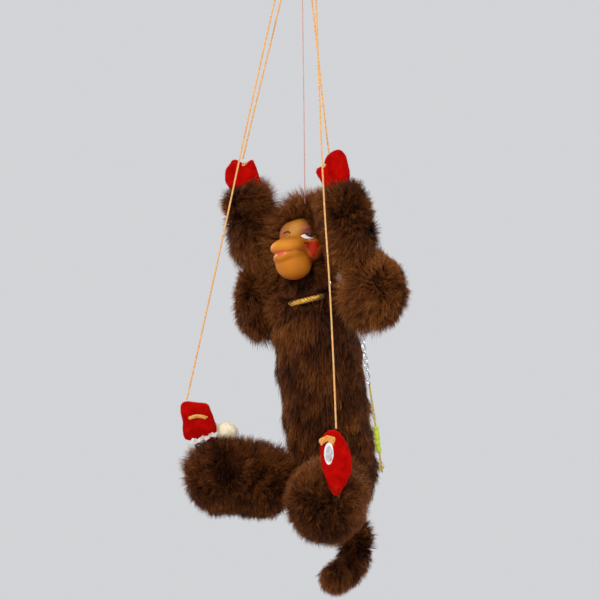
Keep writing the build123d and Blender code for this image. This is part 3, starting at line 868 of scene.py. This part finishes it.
RUBBER = material("face_rubber", (0.52, 0.17, 0.008), roughness=0.46, coat=0.0, specular=0.18)
tint = ramp(RUBBER, noise_node(RUBBER, 70, 3), [(0.3, (0.47, 0.140, 0.006)), (0.6, (0.54, 0.175, 0.009)),
                                                (0.8, (0.58, 0.205, 0.012))])
EYE_X, EYE_Z = 11.6, -248.2
WINK_X, WINK_Z = -6.2, -245.6
# colour, mask and strength of each soft spot laid over the rubber: real paint, painted shade under the brow and chin,
# and a painted highlight on the upper lip
PAINT_SHADE_AND_HIGHLIGHT = [
    ((0.42, 0.165, 0.022), spot(RUBBER, (-2, -12, -238), (13, 12, 9), 0.9), 0.8),
    # darker and purpler over both brows
    ((0.34, 0.11, 0.045), spot(RUBBER, (-14, -4, -242), (9, 12, 8), 0.9), 0.7),
    ((0.32, 0.09, 0.04), spot(RUBBER, (14, -4, -240), (9, 12, 7), 0.9), 0.7),
    # lighter over the bridge of the muzzle
    ((0.54, 0.24, 0.045), spot(RUBBER, (0, -14, -243), (5, 9, 9), 0.9), 0.85),
    # darker round the winking eye
    ((0.36, 0.10, 0.045), spot(RUBBER, (-10, -8, -247), (7.5, 9, 6), 0.9), 0.6),
    # dark purple over the open eye, under the brow: painted shade
    ((0.20, 0.028, 0.030), spot(RUBBER, (EYE_X + 1.0, -6, -244.2), (6.8, 9, 3.6), 0.8), 0.8),
    # lighter orange on the front of the upper lip: partly the lip's own colour, partly painted highlight
    ((0.66, 0.24, 0.016), spot(RUBBER, (-2, -30, -256), (13, 10, 6), 0.8), 0.8),
    ((0.56, 0.12, 0.014), spot(RUBBER, (-3, -34, -261.5), (14, 14, 1.8), 0.9), 0.6),
    ((0.45, 0.055, 0.010), spot(RUBBER, (16, -4, -262), (7, 9, 14), 0.9), 0.75),
    # darker and redder under the chin: painted shade
    ((0.40, 0.045, 0.008), spot(RUBBER, (6, -8, -285), (15, 14, 6), 0.9), 0.75),
]
for colour, mask, strength in PAINT_SHADE_AND_HIGHLIGHT:
    tint = painted(RUBBER, tint, colour, multiplied(RUBBER, mask, strength))
# red three-cornered patch of paint on the left cheek
CHEEK = [(10.2, -14, -252.8), (21.5, -3, -252.0), (16.8, -8, -266.0)]
cheek_normal = Vector((0.574, -0.819, 0.0))
masks = []
for index in range(3):
    a, b, c = (Vector(CHEEK[(index + k) % 3]) for k in range(3))
    inside = (b - a).cross(cheek_normal)
    if inside.dot(c - a) < 0:
        inside = -inside
    masks.append(edge_mask(RUBBER, inside, a, 0.7))
cheek = multiplied(RUBBER, *masks)
tint = painted(RUBBER, tint, (0.46, 0.014, 0.004), multiplied(RUBBER, cheek, 0.94))
stripe = (Vector(CHEEK[0]) - Vector(CHEEK[2])).cross(cheek_normal)
deep = [edge_mask(RUBBER, stripe * side, Vector(CHEEK[2]) + Vector((0.9 * step, 0.6 * step, 0)), 0.5)
        for side, step in ((1, 1.6), (-1, -0.6))]
tint = painted(RUBBER, tint, (0.20, 0.006, 0.006), multiplied(RUBBER, cheek, deep[0], deep[1], 0.85))
wire(RUBBER, tint, RUBBER.node_tree.nodes["Principled BSDF"].inputs["Base Color"])
bump(RUBBER, noise_node(RUBBER, 420, 5), 0.12, 0.0003)
INNER_LIP = mottled("inner_lip", [(0.3, (0.58, 0.095, 0.022)), (0.6, (0.68, 0.135, 0.038)), (0.8, (0.74, 0.18, 0.06))],
                    160, 700, roughness=0.4, coat=0.0)
# dark colour in the crease where the lips meet: painted shade
LIP_CREASE_SHADE = mottled("lip_crease_shade", [(0.3, (0.22, 0.035, 0.008)), (0.7, (0.34, 0.065, 0.012))], 160, 700, roughness=0.5)
face = form.make("face", [RUBBER, INNER_LIP, LIP_CREASE_SHADE], "head", "face_rubber")
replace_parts(face, "face_mask")

# eyes: the left one half open, the right one winking
EYE_WHITE = mottled("eye_white", [(0.3, (0.82, 0.78, 0.72)), (0.7, (0.93, 0.91, 0.87))], 200, 900, 0.05, 0.0001,
                    roughness=0.18, coat=0.6)
IRIS = mottled("eye_iris", [(0.35, (0.035, 0.010, 0.006)), (0.65, (0.13, 0.045, 0.02))], 900, 1800, roughness=0.12,
               coat=0.8)
PUPIL = mottled("eye_pupil", [(0.3, (0.004, 0.003, 0.003)), (0.7, (0.012, 0.010, 0.010))], 300, 900, roughness=0.1,
                coat=0.8)
GLINT = mottled("eye_glint", [(0.3, (0.9, 0.9, 0.9)), (0.7, (1, 1, 1))], 300, 900, roughness=0.2)
LID = mottled("eye_lid", [(0.3, (0.16, 0.022, 0.018)), (0.6, (0.28, 0.050, 0.034)), (0.8, (0.40, 0.11, 0.045))],
              120, 700, roughness=0.4)
LASH = mottled("lash_line", [(0.3, (0.010, 0.004, 0.004)), (0.7, (0.03, 0.010, 0.010))], 300, 900, roughness=0.5)


def on_face(x, z, lift=0.0):
    """Point of the face surface at x and z, and the outward direction there, in millimetres."""
    ys = np.linspace(-45, 10, 551)
    d = face_distance(np.stack([np.full_like(ys, x), ys, np.full_like(ys, z)], axis=1))
    y = ys[np.argmax(d < 0)]
    here = np.array([[x, y, z]])
    slope = np.array([face_distance(here + step)[0] - face_distance(here - step)[0] for step in np.eye(3) * 0.4])
    outward = slope / np.linalg.norm(slope)
    return Vector(here[0] + outward * lift), Vector(outward)


centre, outward = on_face(EYE_X, EYE_Z)
side = UP.cross(outward).normalized()          # towards the monkey's left
rise = outward.cross(side).normalized()
EYE_AXES = [side, rise, outward]
EYE_GROWTH, EYE_DEPTH = 1.18, 1.6


def eye_place(across, up, out):
    return (centre + (side * across + rise * up + outward * out) * EYE_GROWTH) * MM


def eye_shell(turn, lift, radii):
    """Point over the eyeball, by angles in degrees."""
    t, e = math.radians(turn), math.radians(lift)
    return eye_place(math.sin(t) * math.cos(e) * radii[0], math.sin(e) * radii[1],
                     -EYE_DEPTH + math.cos(t) * math.cos(e) * radii[2])


def face_part(form, name, finish):
    form.make(name, [finish], "head", "face_rubber")


form = Form()
form.ball(eye_place(0, 0, -EYE_DEPTH), np.array((5.6, 3.5, 3.0)) * MM * EYE_GROWTH, 22, 34, axes=EYE_AXES)
face_part(form, "left_eye_white", EYE_WHITE)


def eye_cap(yaw, pitch, spread, growth, inner):
    """Thin cap on the eyeball round the direction it looks in; angles in degrees."""
    look = Vector((math.sin(math.radians(yaw)) * math.cos(math.radians(pitch)), math.sin(math.radians(pitch)),
                   math.cos(math.radians(yaw)) * math.cos(math.radians(pitch))))
    first = look.cross(Vector((0, 1, 0))).normalized()
    second = look.cross(first)
    rows = []
    for share, scale in [(k / 8 + 0.01, growth) for k in range(9)] + [(1.0, inner)]:
        angle = math.radians(spread) * share
        row = []
        for t in around(36):
            ray = look * math.cos(angle) + (first * math.cos(t) + second * math.sin(t)) * math.sin(angle)
            row.append(eye_place(ray.x * 5.6 * scale, ray.y * 3.5 * scale, -EYE_DEPTH + ray.z * 3.0 * scale))
        rows.append(row)
    form = Form()
    form.grid(rows)
    return form


LOOK = (26, 13)
face_part(eye_cap(*LOOK, 36, 1.02, 0.96), "left_eye_iris", IRIS)
face_part(eye_cap(*LOOK, 16, 1.045, 0.98), "left_eye_pupil", PUPIL)
face_part(eye_cap(LOOK[0] - 10, LOOK[1] + 6, 4.5, 1.07, 1.0), "left_eye_glint", GLINT)


LID_EDGE = 24                                   # how far above its middle the eye is covered, in degrees


def lower_edge(turn):
    return 5 * math.cos(math.radians(turn * 2)) - 0.06 * turn


def lid_grid(low_lift, high_lift, thickness):
    """Shell over the upper part of the eyeball."""
    outer, inner = [], []
    for lift in np.linspace(low_lift, high_lift, 12):
        row_out, row_in = [], []
        for turn in np.linspace(-88, 88, 34):
            for rows, extra in ((row_out, thickness), (row_in, 0.05)):
                rows.append(eye_shell(turn, lift + lower_edge(turn), (5.7 + extra, 3.6 + extra, 3.05 + extra)))
        outer.append(row_out)
        inner.append(row_in)
    return [o + i[::-1] for o, i in zip(outer, inner)]


form = Form()
form.grid(lid_grid(LID_EDGE, 92, 0.75))
face_part(form, "left_eye_lid", LID)
form = Form()
lash = [eye_shell(turn, LID_EDGE + lower_edge(turn), (6.35, 4.2, 3.75)) for turn in np.linspace(-80, 80, 36)]
form.tube(lash, np.linspace(0.16, 0.42, 36) * MM, 8)
face_part(form, "left_eye_lash", LASH)
form = Form()
lower = [eye_shell(turn, -50 + 14 * (1 - math.cos(math.radians(turn))), (5.9, 3.7, 3.3))
         for turn in np.linspace(-84, 84, 36)]
form.tube(lower, 0.32 * MM, 8)
face_part(form, "left_eye_lower_rim", LID)

form = Form()
wink = [on_face(WINK_X + 4.6 * math.sin(t), WINK_Z - 1.0 + 2.6 * math.cos(t), 0.2)[0] * MM
        for t in np.linspace(-1.45, 1.35, 30)]
form.tube(wink, np.interp(np.arange(30), (0, 15, 29), (0.3, 0.7, 0.3)) * MM, 8)
face_part(form, "right_eye_wink", LASH)

# ---------------------------------------------------------------- felt hands and feet
def rounded_outline(corners, count=120):
    """Smooth closed line through corners given in millimetres."""
    corners = np.array(corners, float)
    n = len(corners)
    line = []
    for value in np.linspace(0, n, count, endpoint=False):
        i, t = int(value), value - int(value)
        p0, p1, p2, p3 = (corners[(i + k - 1) % n] for k in range(4))
        line.append(0.5 * (2 * p1 + (p2 - p0) * t + (2 * p0 - 5 * p1 + 4 * p2 - p3) * t**2
                           + (3 * p1 - p0 - 3 * p2 + p3) * t**3))
    return np.array(line)


FELT_FUZZ = 1500


def fuzz(name, skin, count, body, finish, slot, **coat):
    """Very short fur of one material."""
    hair = fur(name, skin, count, body, slot=slot, **coat)
    hair.data.materials.clear()
    for _ in FUR_TONES:
        hair.data.materials.append(finish)


def felt_pillow(name, outline, body, nodes, centre, up=UP, thick=3.6, heart=(0, 0), pinch=(), wrinkle=0.5):
    """Two felt layers sewn at the rim and lightly stuffed; pinch is (across, up, radius, share) hollows."""
    line = rounded_outline(outline)
    heart = np.array(heart, float)
    out = ACROSS_VIEW.cross(up).normalized()
    shares = [1.0, 0.975, 0.94, 0.88, 0.80, 0.70, 0.58, 0.46, 0.34, 0.22, 0.11]
    sides = []
    for face_side in (1, -1):
        rows = []
        for share in shares:
            inner = heart + (line - heart) * share
            depth = 1 - share
            height = 0.55 + thick * (1 - (1 - min(depth / 0.62, 1)) ** 2) ** 0.5 if depth > 0.03 else 0.75
            row = []
            for p in inner:
                h = height
                for px, py, radius, keep in pinch:
                    near = math.exp(-((p[0] - px) ** 2 + (p[1] - py) ** 2) / radius**2)
                    h *= 1 - (1 - keep) * near
                ripple = noise.noise(Vector((p[0] / 4.5, p[1] / 6, face_side * 3 + len(name))))
                h += ripple * wrinkle * min(1, depth * 6)
                row.append(centre + (ACROSS_VIEW * p[0] + up * p[1] + out * (h * face_side)) * MM)
            rows.append(row)
        sides.append(rows)
    form = Form()
    front, back = sides
    form.grid(front[::-1] + back)
    form.tones = [1 if index // len(line) in (9, 10, 11) else 0 for index in range(len(form.faces))]
    made = form.make(name, (FELT, FELT_EDGE), body, "red_felt")
    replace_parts(made, *nodes)
    fuzz(f"{name}_fuzz", made, FELT_FUZZ, body, FELT_EDGE, "red_felt", length=1.6, thickness=0.06, clump=0.2, droop=0.1)


def middle_of(*nodes):
    boxes = [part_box(node) for node in nodes]
    return sum((low + high for low, high in boxes), Vector()) / (2 * len(boxes))


YARN_PLY = 0.00055


def yarn_knot(name, centre, half, height, body, finish, slot, up=UP, tilt=0.0, drop=1.35):
    """Flat bow of soft yarn: three turns of a figure of eight with two loose ends."""
    form = Form()
    for number in range(3):
        phase = number * 0.9
        loop = []
        for t in around(70):
            x = half * (0.92 - 0.1 * number) * math.sin(t + phase * 0.1)
            y = height * (0.5 + 0.25 * number) * math.sin(2 * t + phase) + tilt * x
            z = 0.5 + 0.75 * number + 0.8 * math.cos(2 * t + phase) ** 2
            loop.append(centre + at(x, y, z, up))
        form.plies(np.array(loop), 2, YARN_PLY * 0.62, YARN_PLY, 0.0046, closed=True)
    for sign in (-1, 1):
        end = [centre + at(0, 0, 1.6, up), centre + at(sign * half * 0.45, -height * drop * 0.4, 1.9, up),
               centre + at(sign * half * 0.75, -height * drop, 1.3, up)]
        form.plies(evenly(route(end), STRING_STEP), 2, YARN_PLY * 0.6, YARN_PLY * 0.95, 0.0046)
    return form.make(name, [finish], body, slot)


HANDS = {
    "right": dict(
        outline=[(-15.6, -3), (-14.6, 2.6), (-11.6, 6.6), (-9.4, 9.8), (-6.0, 10.4), (-1.6, 8.0), (1.2, 6.4),
                 (4.0, 8.6), (6.6, 10.2), (8.6, 9.6), (11.2, 4.0), (13.6, -3.5), (15.2, -10), (11, -15), (0, -17),
                 (-10, -15), (-15.0, -9)],
        heart=(0, -4), pinch=[(1.4, 7.2, 4.5, 0.45), (0.5, 0, 3.5, 0.7)], thick=3.4, knot=(1.2, 6.6)),
    "left": dict(
        outline=[(-9, -15), (-12.2, -9.5), (-15.2, -4.6), (-15.0, -1.0), (-12.2, 1.0), (-9.2, 1.6), (-8.6, 4.8),
                 (-6.9, 9.4), (-3.0, 13.2), (1.8, 15.4), (5.6, 14.8), (9.2, 10.6), (11.2, 3.4), (12.8, -4.5),
                 (11.6, -11), (5, -17), (-3, -18)],
        heart=(0, -2), pinch=[(-9.8, 1.8, 4.2, 0.4)], thick=3.9, knot=(-8.8, 1.8)),
}
for side, hand in HANDS.items():
    centre = middle_of(f"{side}_hand_palm", f"{side}_hand_back")
    shift = {"right": at(0, 1.6), "left": at(0.2, 0.8)}[side]
    felt_pillow(f"{side}_hand", hand["outline"], f"{side}_forearm", (f"{side}_hand_palm", f"{side}_hand_back"),
                centre + shift, thick=hand["thick"], heart=hand["heart"], pinch=hand["pinch"])
    place = centre + shift + at(hand["knot"][0], hand["knot"][1], 1.4)
    form = Form()
    form.tube(trefoil(place, (0.0013, 0.0013, 0.0012)), 0.00068, 8, closed=True)
    form.make(f"{side}_hand_knot", [STRING], f"{side}_forearm", "puppet_string")

RIGHT_LEAN = math.radians(22)
right_up = UP * math.cos(RIGHT_LEAN) + TOWARDS_VIEW * math.sin(RIGHT_LEAN)
right_foot = middle_of("right_foot_sole", "right_foot_upper")
felt_pillow("right_foot", [(-14.2, 14.2), (-10.2, 17.2), (-2, 16.4), (7.6, 15.0), (10.6, 9.4), (13.2, 1.8),
                           (15.6, -8.0), (13.4, -14.4), (10.8, -17.8), (4.5, -18.6), (-0.5, -17.2), (-6, -18.4),
                           (-11.4, -16.6), (-13.2, -9), (-13.0, -1), (-14.6, 7.4)],
            "right_foot", ("right_foot_sole", "right_foot_upper"), right_foot, right_up, thick=3.6,
            heart=(0, -1), pinch=[(0, 3.2, 5.5, 0.45), (-4.0, -11, 2.6, 0.45), (4.4, -11, 2.6, 0.5)], wrinkle=0.8)
knot = yarn_knot("right_foot_bow", right_foot + at(-0.4, 3.2, 2.0, right_up), 8.6, 1.7, "right_foot", YARN,
                 "knot_yarn", right_up, tilt=0.04, drop=0.3)
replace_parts(knot, "right_foot_knot")

left_foot = middle_of("left_foot_sole", "left_foot_upper")
felt_pillow("left_foot", [(-8.2, 24.6), (-3.8, 26.6), (2.5, 24.8), (8.6, 15.8), (12.6, 5.0), (12.2, -8.0),
                          (7.0, -18.8), (1.6, -27.0), (-3.4, -24.6), (-7.2, -15.6), (-11.0, -4.4), (-12.6, 8.4),
                          (-11.4, 19.4)],
            "left_foot", ("left_foot_sole", "left_foot_upper"), left_foot, thick=3.8, heart=(0, 0),
            pinch=[(-8, 18.7, 4.0, 0.5), (6, -8, 4.0, 0.75)], wrinkle=0.6)
knot = yarn_knot("left_foot_bow", left_foot + at(-7.2, 18.6, 2.2), 6.6, 3.1, "left_foot", YARN, "knot_yarn", tilt=0.12)
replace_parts(knot, "left_foot_knot")


def soft_patch(name, centre, half_width, half_height, body, nodes, slot, rim, field):
    """Thin oval cloth patch with a raised rim, crowned over what is under it."""
    form = Form()
    rows = []
    for share in (0.02, 0.25, 0.5, 0.7, 0.80, 0.86, 0.92, 0.97, 1.0):
        lift = 0.7 * (1 - share**2) + (0.35 if 0.79 < share < 0.98 else 0.0) + 0.7
        rows.append([centre + at(half_width * share * math.cos(t), half_height * share * math.sin(t), lift)
                     for t in around(64)])
    rows.append([centre + at(half_width * math.cos(t), half_height * math.sin(t)) for t in around(64)])
    form.grid(rows)
    form.tones = [1 if index // 64 < 3 else 0 for index in range(len(form.faces))]
    form.tones[-2], form.tones[-1] = 1, 0
    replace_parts(form.make(name, [rim, field], body, slot), *nodes)


PATCH_FIELD = mottled("patch_field", [(0.3, (0.36, 0.37, 0.39)), (0.6, (0.52, 0.53, 0.55)), (0.8, (0.68, 0.68, 0.68))],
                      420, 1800, roughness=0.8)
soft_patch("left_sole_cloth_patch", left_foot + at(-5.8, 7.6, 3.3), 3.9, 9.2, "left_foot", ("left_sole_patch",),
           "sole_patch", PATCH, PATCH_FIELD)

# fleece pad over the right leg, and the frayed white lining under the right foot
low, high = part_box("right_leg_pad")
pad_centre = (low + high) / 2
form = Form()
form.ball(pad_centre + at(1.4, 1.2, 0), np.array((9.6, 8.2, 8.4)) * MM, 26, 34, axes=(ACROSS_VIEW, UP, TOWARDS_VIEW))
form.ball(pad_centre + at(-8.4, 2.0, 1.5), np.array((6.2, 6.6, 6.6)) * MM, 20, 26,
          axes=(ACROSS_VIEW, UP, TOWARDS_VIEW))
pad = form.make("right_leg_fleece", [CREAM], "right_leg", "cream_fleece")
pad = remeshed(pad, 0.0009, 8)
lump(pad, 0.9 * MM, 0.006, 4.4)
pad.data.materials.clear()
pad.data.materials.append(CREAM)
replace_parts(pad, "right_leg_pad")
fuzz("right_leg_fleece_fuzz", pad, 1600, "right_leg", CREAM, "cream_fleece", length=2.0, thickness=0.09, clump=0.4,
     droop=0.0)

form = Form()
rows = []
for share in np.linspace(0, 1, 40):
    x = -6 + 23 * share
    y = -19.5 + 8.0 * share ** 1.3 + 0.8 * math.sin(share * 19)
    wide = 1.5 + 0.8 * math.sin(share * 26) ** 2
    row = []
    for across_strip, thick in ((-1, 0.35), (1, 0.35), (1, -0.35), (-1, -0.35)):
        row.append(right_foot + at(x, y + across_strip * wide, 4.0 + thick + 0.7 * math.sin(share * 23), right_up))
    rows.append(row)
form.grid(rows)
form.make("right_foot_lining", [LINING], "right_foot", "sole_patch", smooth=False)

# ---------------------------------------------------------------- collar, clasp and ring
COLLAR_CENTRE, COLLAR_R, COLLAR_TILT = Vector((0, 0.014, -0.301)), 0.029, math.radians(7)


COLLAR_ROLL = 0.20                              # the leash pulls the braid up on the monkey's left


def collar_point(turn, radius=COLLAR_R, lift=0.0):
    return COLLAR_CENTRE + Vector((radius * math.sin(turn), -radius * math.cos(turn) * math.cos(COLLAR_TILT),
                                   -radius * math.cos(turn) * math.sin(COLLAR_TILT) + lift
                                   + COLLAR_ROLL * radius * math.sin(turn)))


ring = np.array([collar_point(t)[:] for t in around(420)])
form = Form()
form.plies(ring, 3, 0.00150, 0.00105, 0.0080, closed=True, corners=7)
form.plies(ring, 3, 0.00150, 0.00060, 0.0046, closed=True)
collar = form.make("collar_rope", [GOLD], "puppet_root", "gold_braid")
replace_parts(collar, "collar_braid")
form = Form()
hidden = [collar_point(math.radians(t), COLLAR_R + 0.0006)
          for t in np.linspace(COLLAR_SHOWS[1] + 3, 357 + COLLAR_SHOWS[0], 60)]
form.tube(hidden, 0.0030, 14)
band = form.make("collar_fur_band", [HIDE], "puppet_root", "fur")
fur("collar_fur", band, 9000, "puppet_root", length=13.0, comb=(0, 0, -0.5), lean=0.5, stand=0.9, warm=0.1, clump=0.5)


def oval_link(form, centre, along, side, long, wide, thick):
    out = along.cross(side).normalized()
    side = out.cross(along).normalized()
    form.tube([centre + along * (long * math.sin(t)) + side * (wide * math.cos(t)) + out * 0.0001 * math.sin(2 * t)
               for t in around(32)], thick, 8, closed=True)


form = Form()
ring_top = LEASH_TOP - LEASH_WAY * 0.0041
clasp_start, clasp_end = collar_point(math.radians(62), 0.0335, 0.010), collar_point(math.radians(96), 0.034, -0.001)
clasp_way = (clasp_end - clasp_start).normalized()
oval_link(form, clasp_start.lerp(clasp_end, 0.30), clasp_way, UP, 0.0062, 0.0019, 0.00075)
oval_link(form, clasp_start.lerp(clasp_end, 0.66), clasp_way, clasp_way.cross(UP), 0.0046, 0.0020, 0.0007)
oval_link(form, clasp_end, (ring_top - clasp_end).normalized(), UP, 0.0036, 0.0022, 0.0006)
form.ball(clasp_start, (0.0015, 0.0015, 0.0015), 12, 16)
oval_link(form, ring_top, LEASH_WAY, ACROSS_VIEW, 0.0032, 0.0026, 0.0006)
oval_link(form, clasp_end.lerp(ring_top, 0.55), (ring_top - clasp_end).normalized(), ACROSS_VIEW, 0.0046, 0.0021,
          0.0006)
clasp = form.make("leash_clasp", [CHROME], "puppet_root", "chain_metal")
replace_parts(clasp, "leash_ring")

# ---------------------------------------------------------------- floor and light
FLOOR_Z, FLOOR_R = -0.80, 1.15
floor = mesh_object("floor", [(FLOOR_R * math.cos(t), FLOOR_R * math.sin(t), FLOOR_Z)
                              for t in around(96)], [tuple(range(96))],
                    [mottled("floor_paper", [(0.3, (0.54, 0.55, 0.57)), (0.7, (0.57, 0.58, 0.60))], 2, 9, 0.02, 0.001,
                             roughness=0.9)], smooth=False)

bpy.context.scene.view_settings.view_transform = "Standard"
world = bpy.data.worlds.new("studio")
bpy.context.scene.world = world
world.use_nodes = True
world.node_tree.nodes["Background"].inputs["Color"].default_value = (0.645, 0.655, 0.675, 1)
world.node_tree.nodes["Background"].inputs["Strength"].default_value = 1.0


def lamp(name, place, size, power, colour=(1, 1, 1)):
    data = bpy.data.lights.new(name, "AREA")
    data.shape, data.size, data.energy, data.color = "DISK", size, power, colour
    made = bpy.data.objects.new(name, data)
    bpy.context.scene.collection.objects.link(made)
    made.location = place
    made.rotation_euler = (made.location - Vector((0, 0, -0.33))).to_track_quat("Z", "Y").to_euler()


middle = Vector((0, 0, -0.33))
lamp("key", middle + TOWARDS_VIEW * 1.5 - ACROSS_VIEW * 0.75 + UP * 0.85, 0.5, 19, (1.0, 0.96, 0.90))
lamp("fill", middle + TOWARDS_VIEW * 1.2 + ACROSS_VIEW * 1.4 + UP * 0.1, 1.2, 5, (0.97, 0.98, 1.0))
lamp("rim_right", middle - TOWARDS_VIEW * 1.0 + ACROSS_VIEW * 1.1 + UP * 0.8, 0.8, 14, (1.0, 0.98, 0.95))
lamp("rim_left", middle - TOWARDS_VIEW * 1.1 - ACROSS_VIEW * 1.0 + UP * 0.5, 0.8, 10, (1.0, 0.98, 0.95))
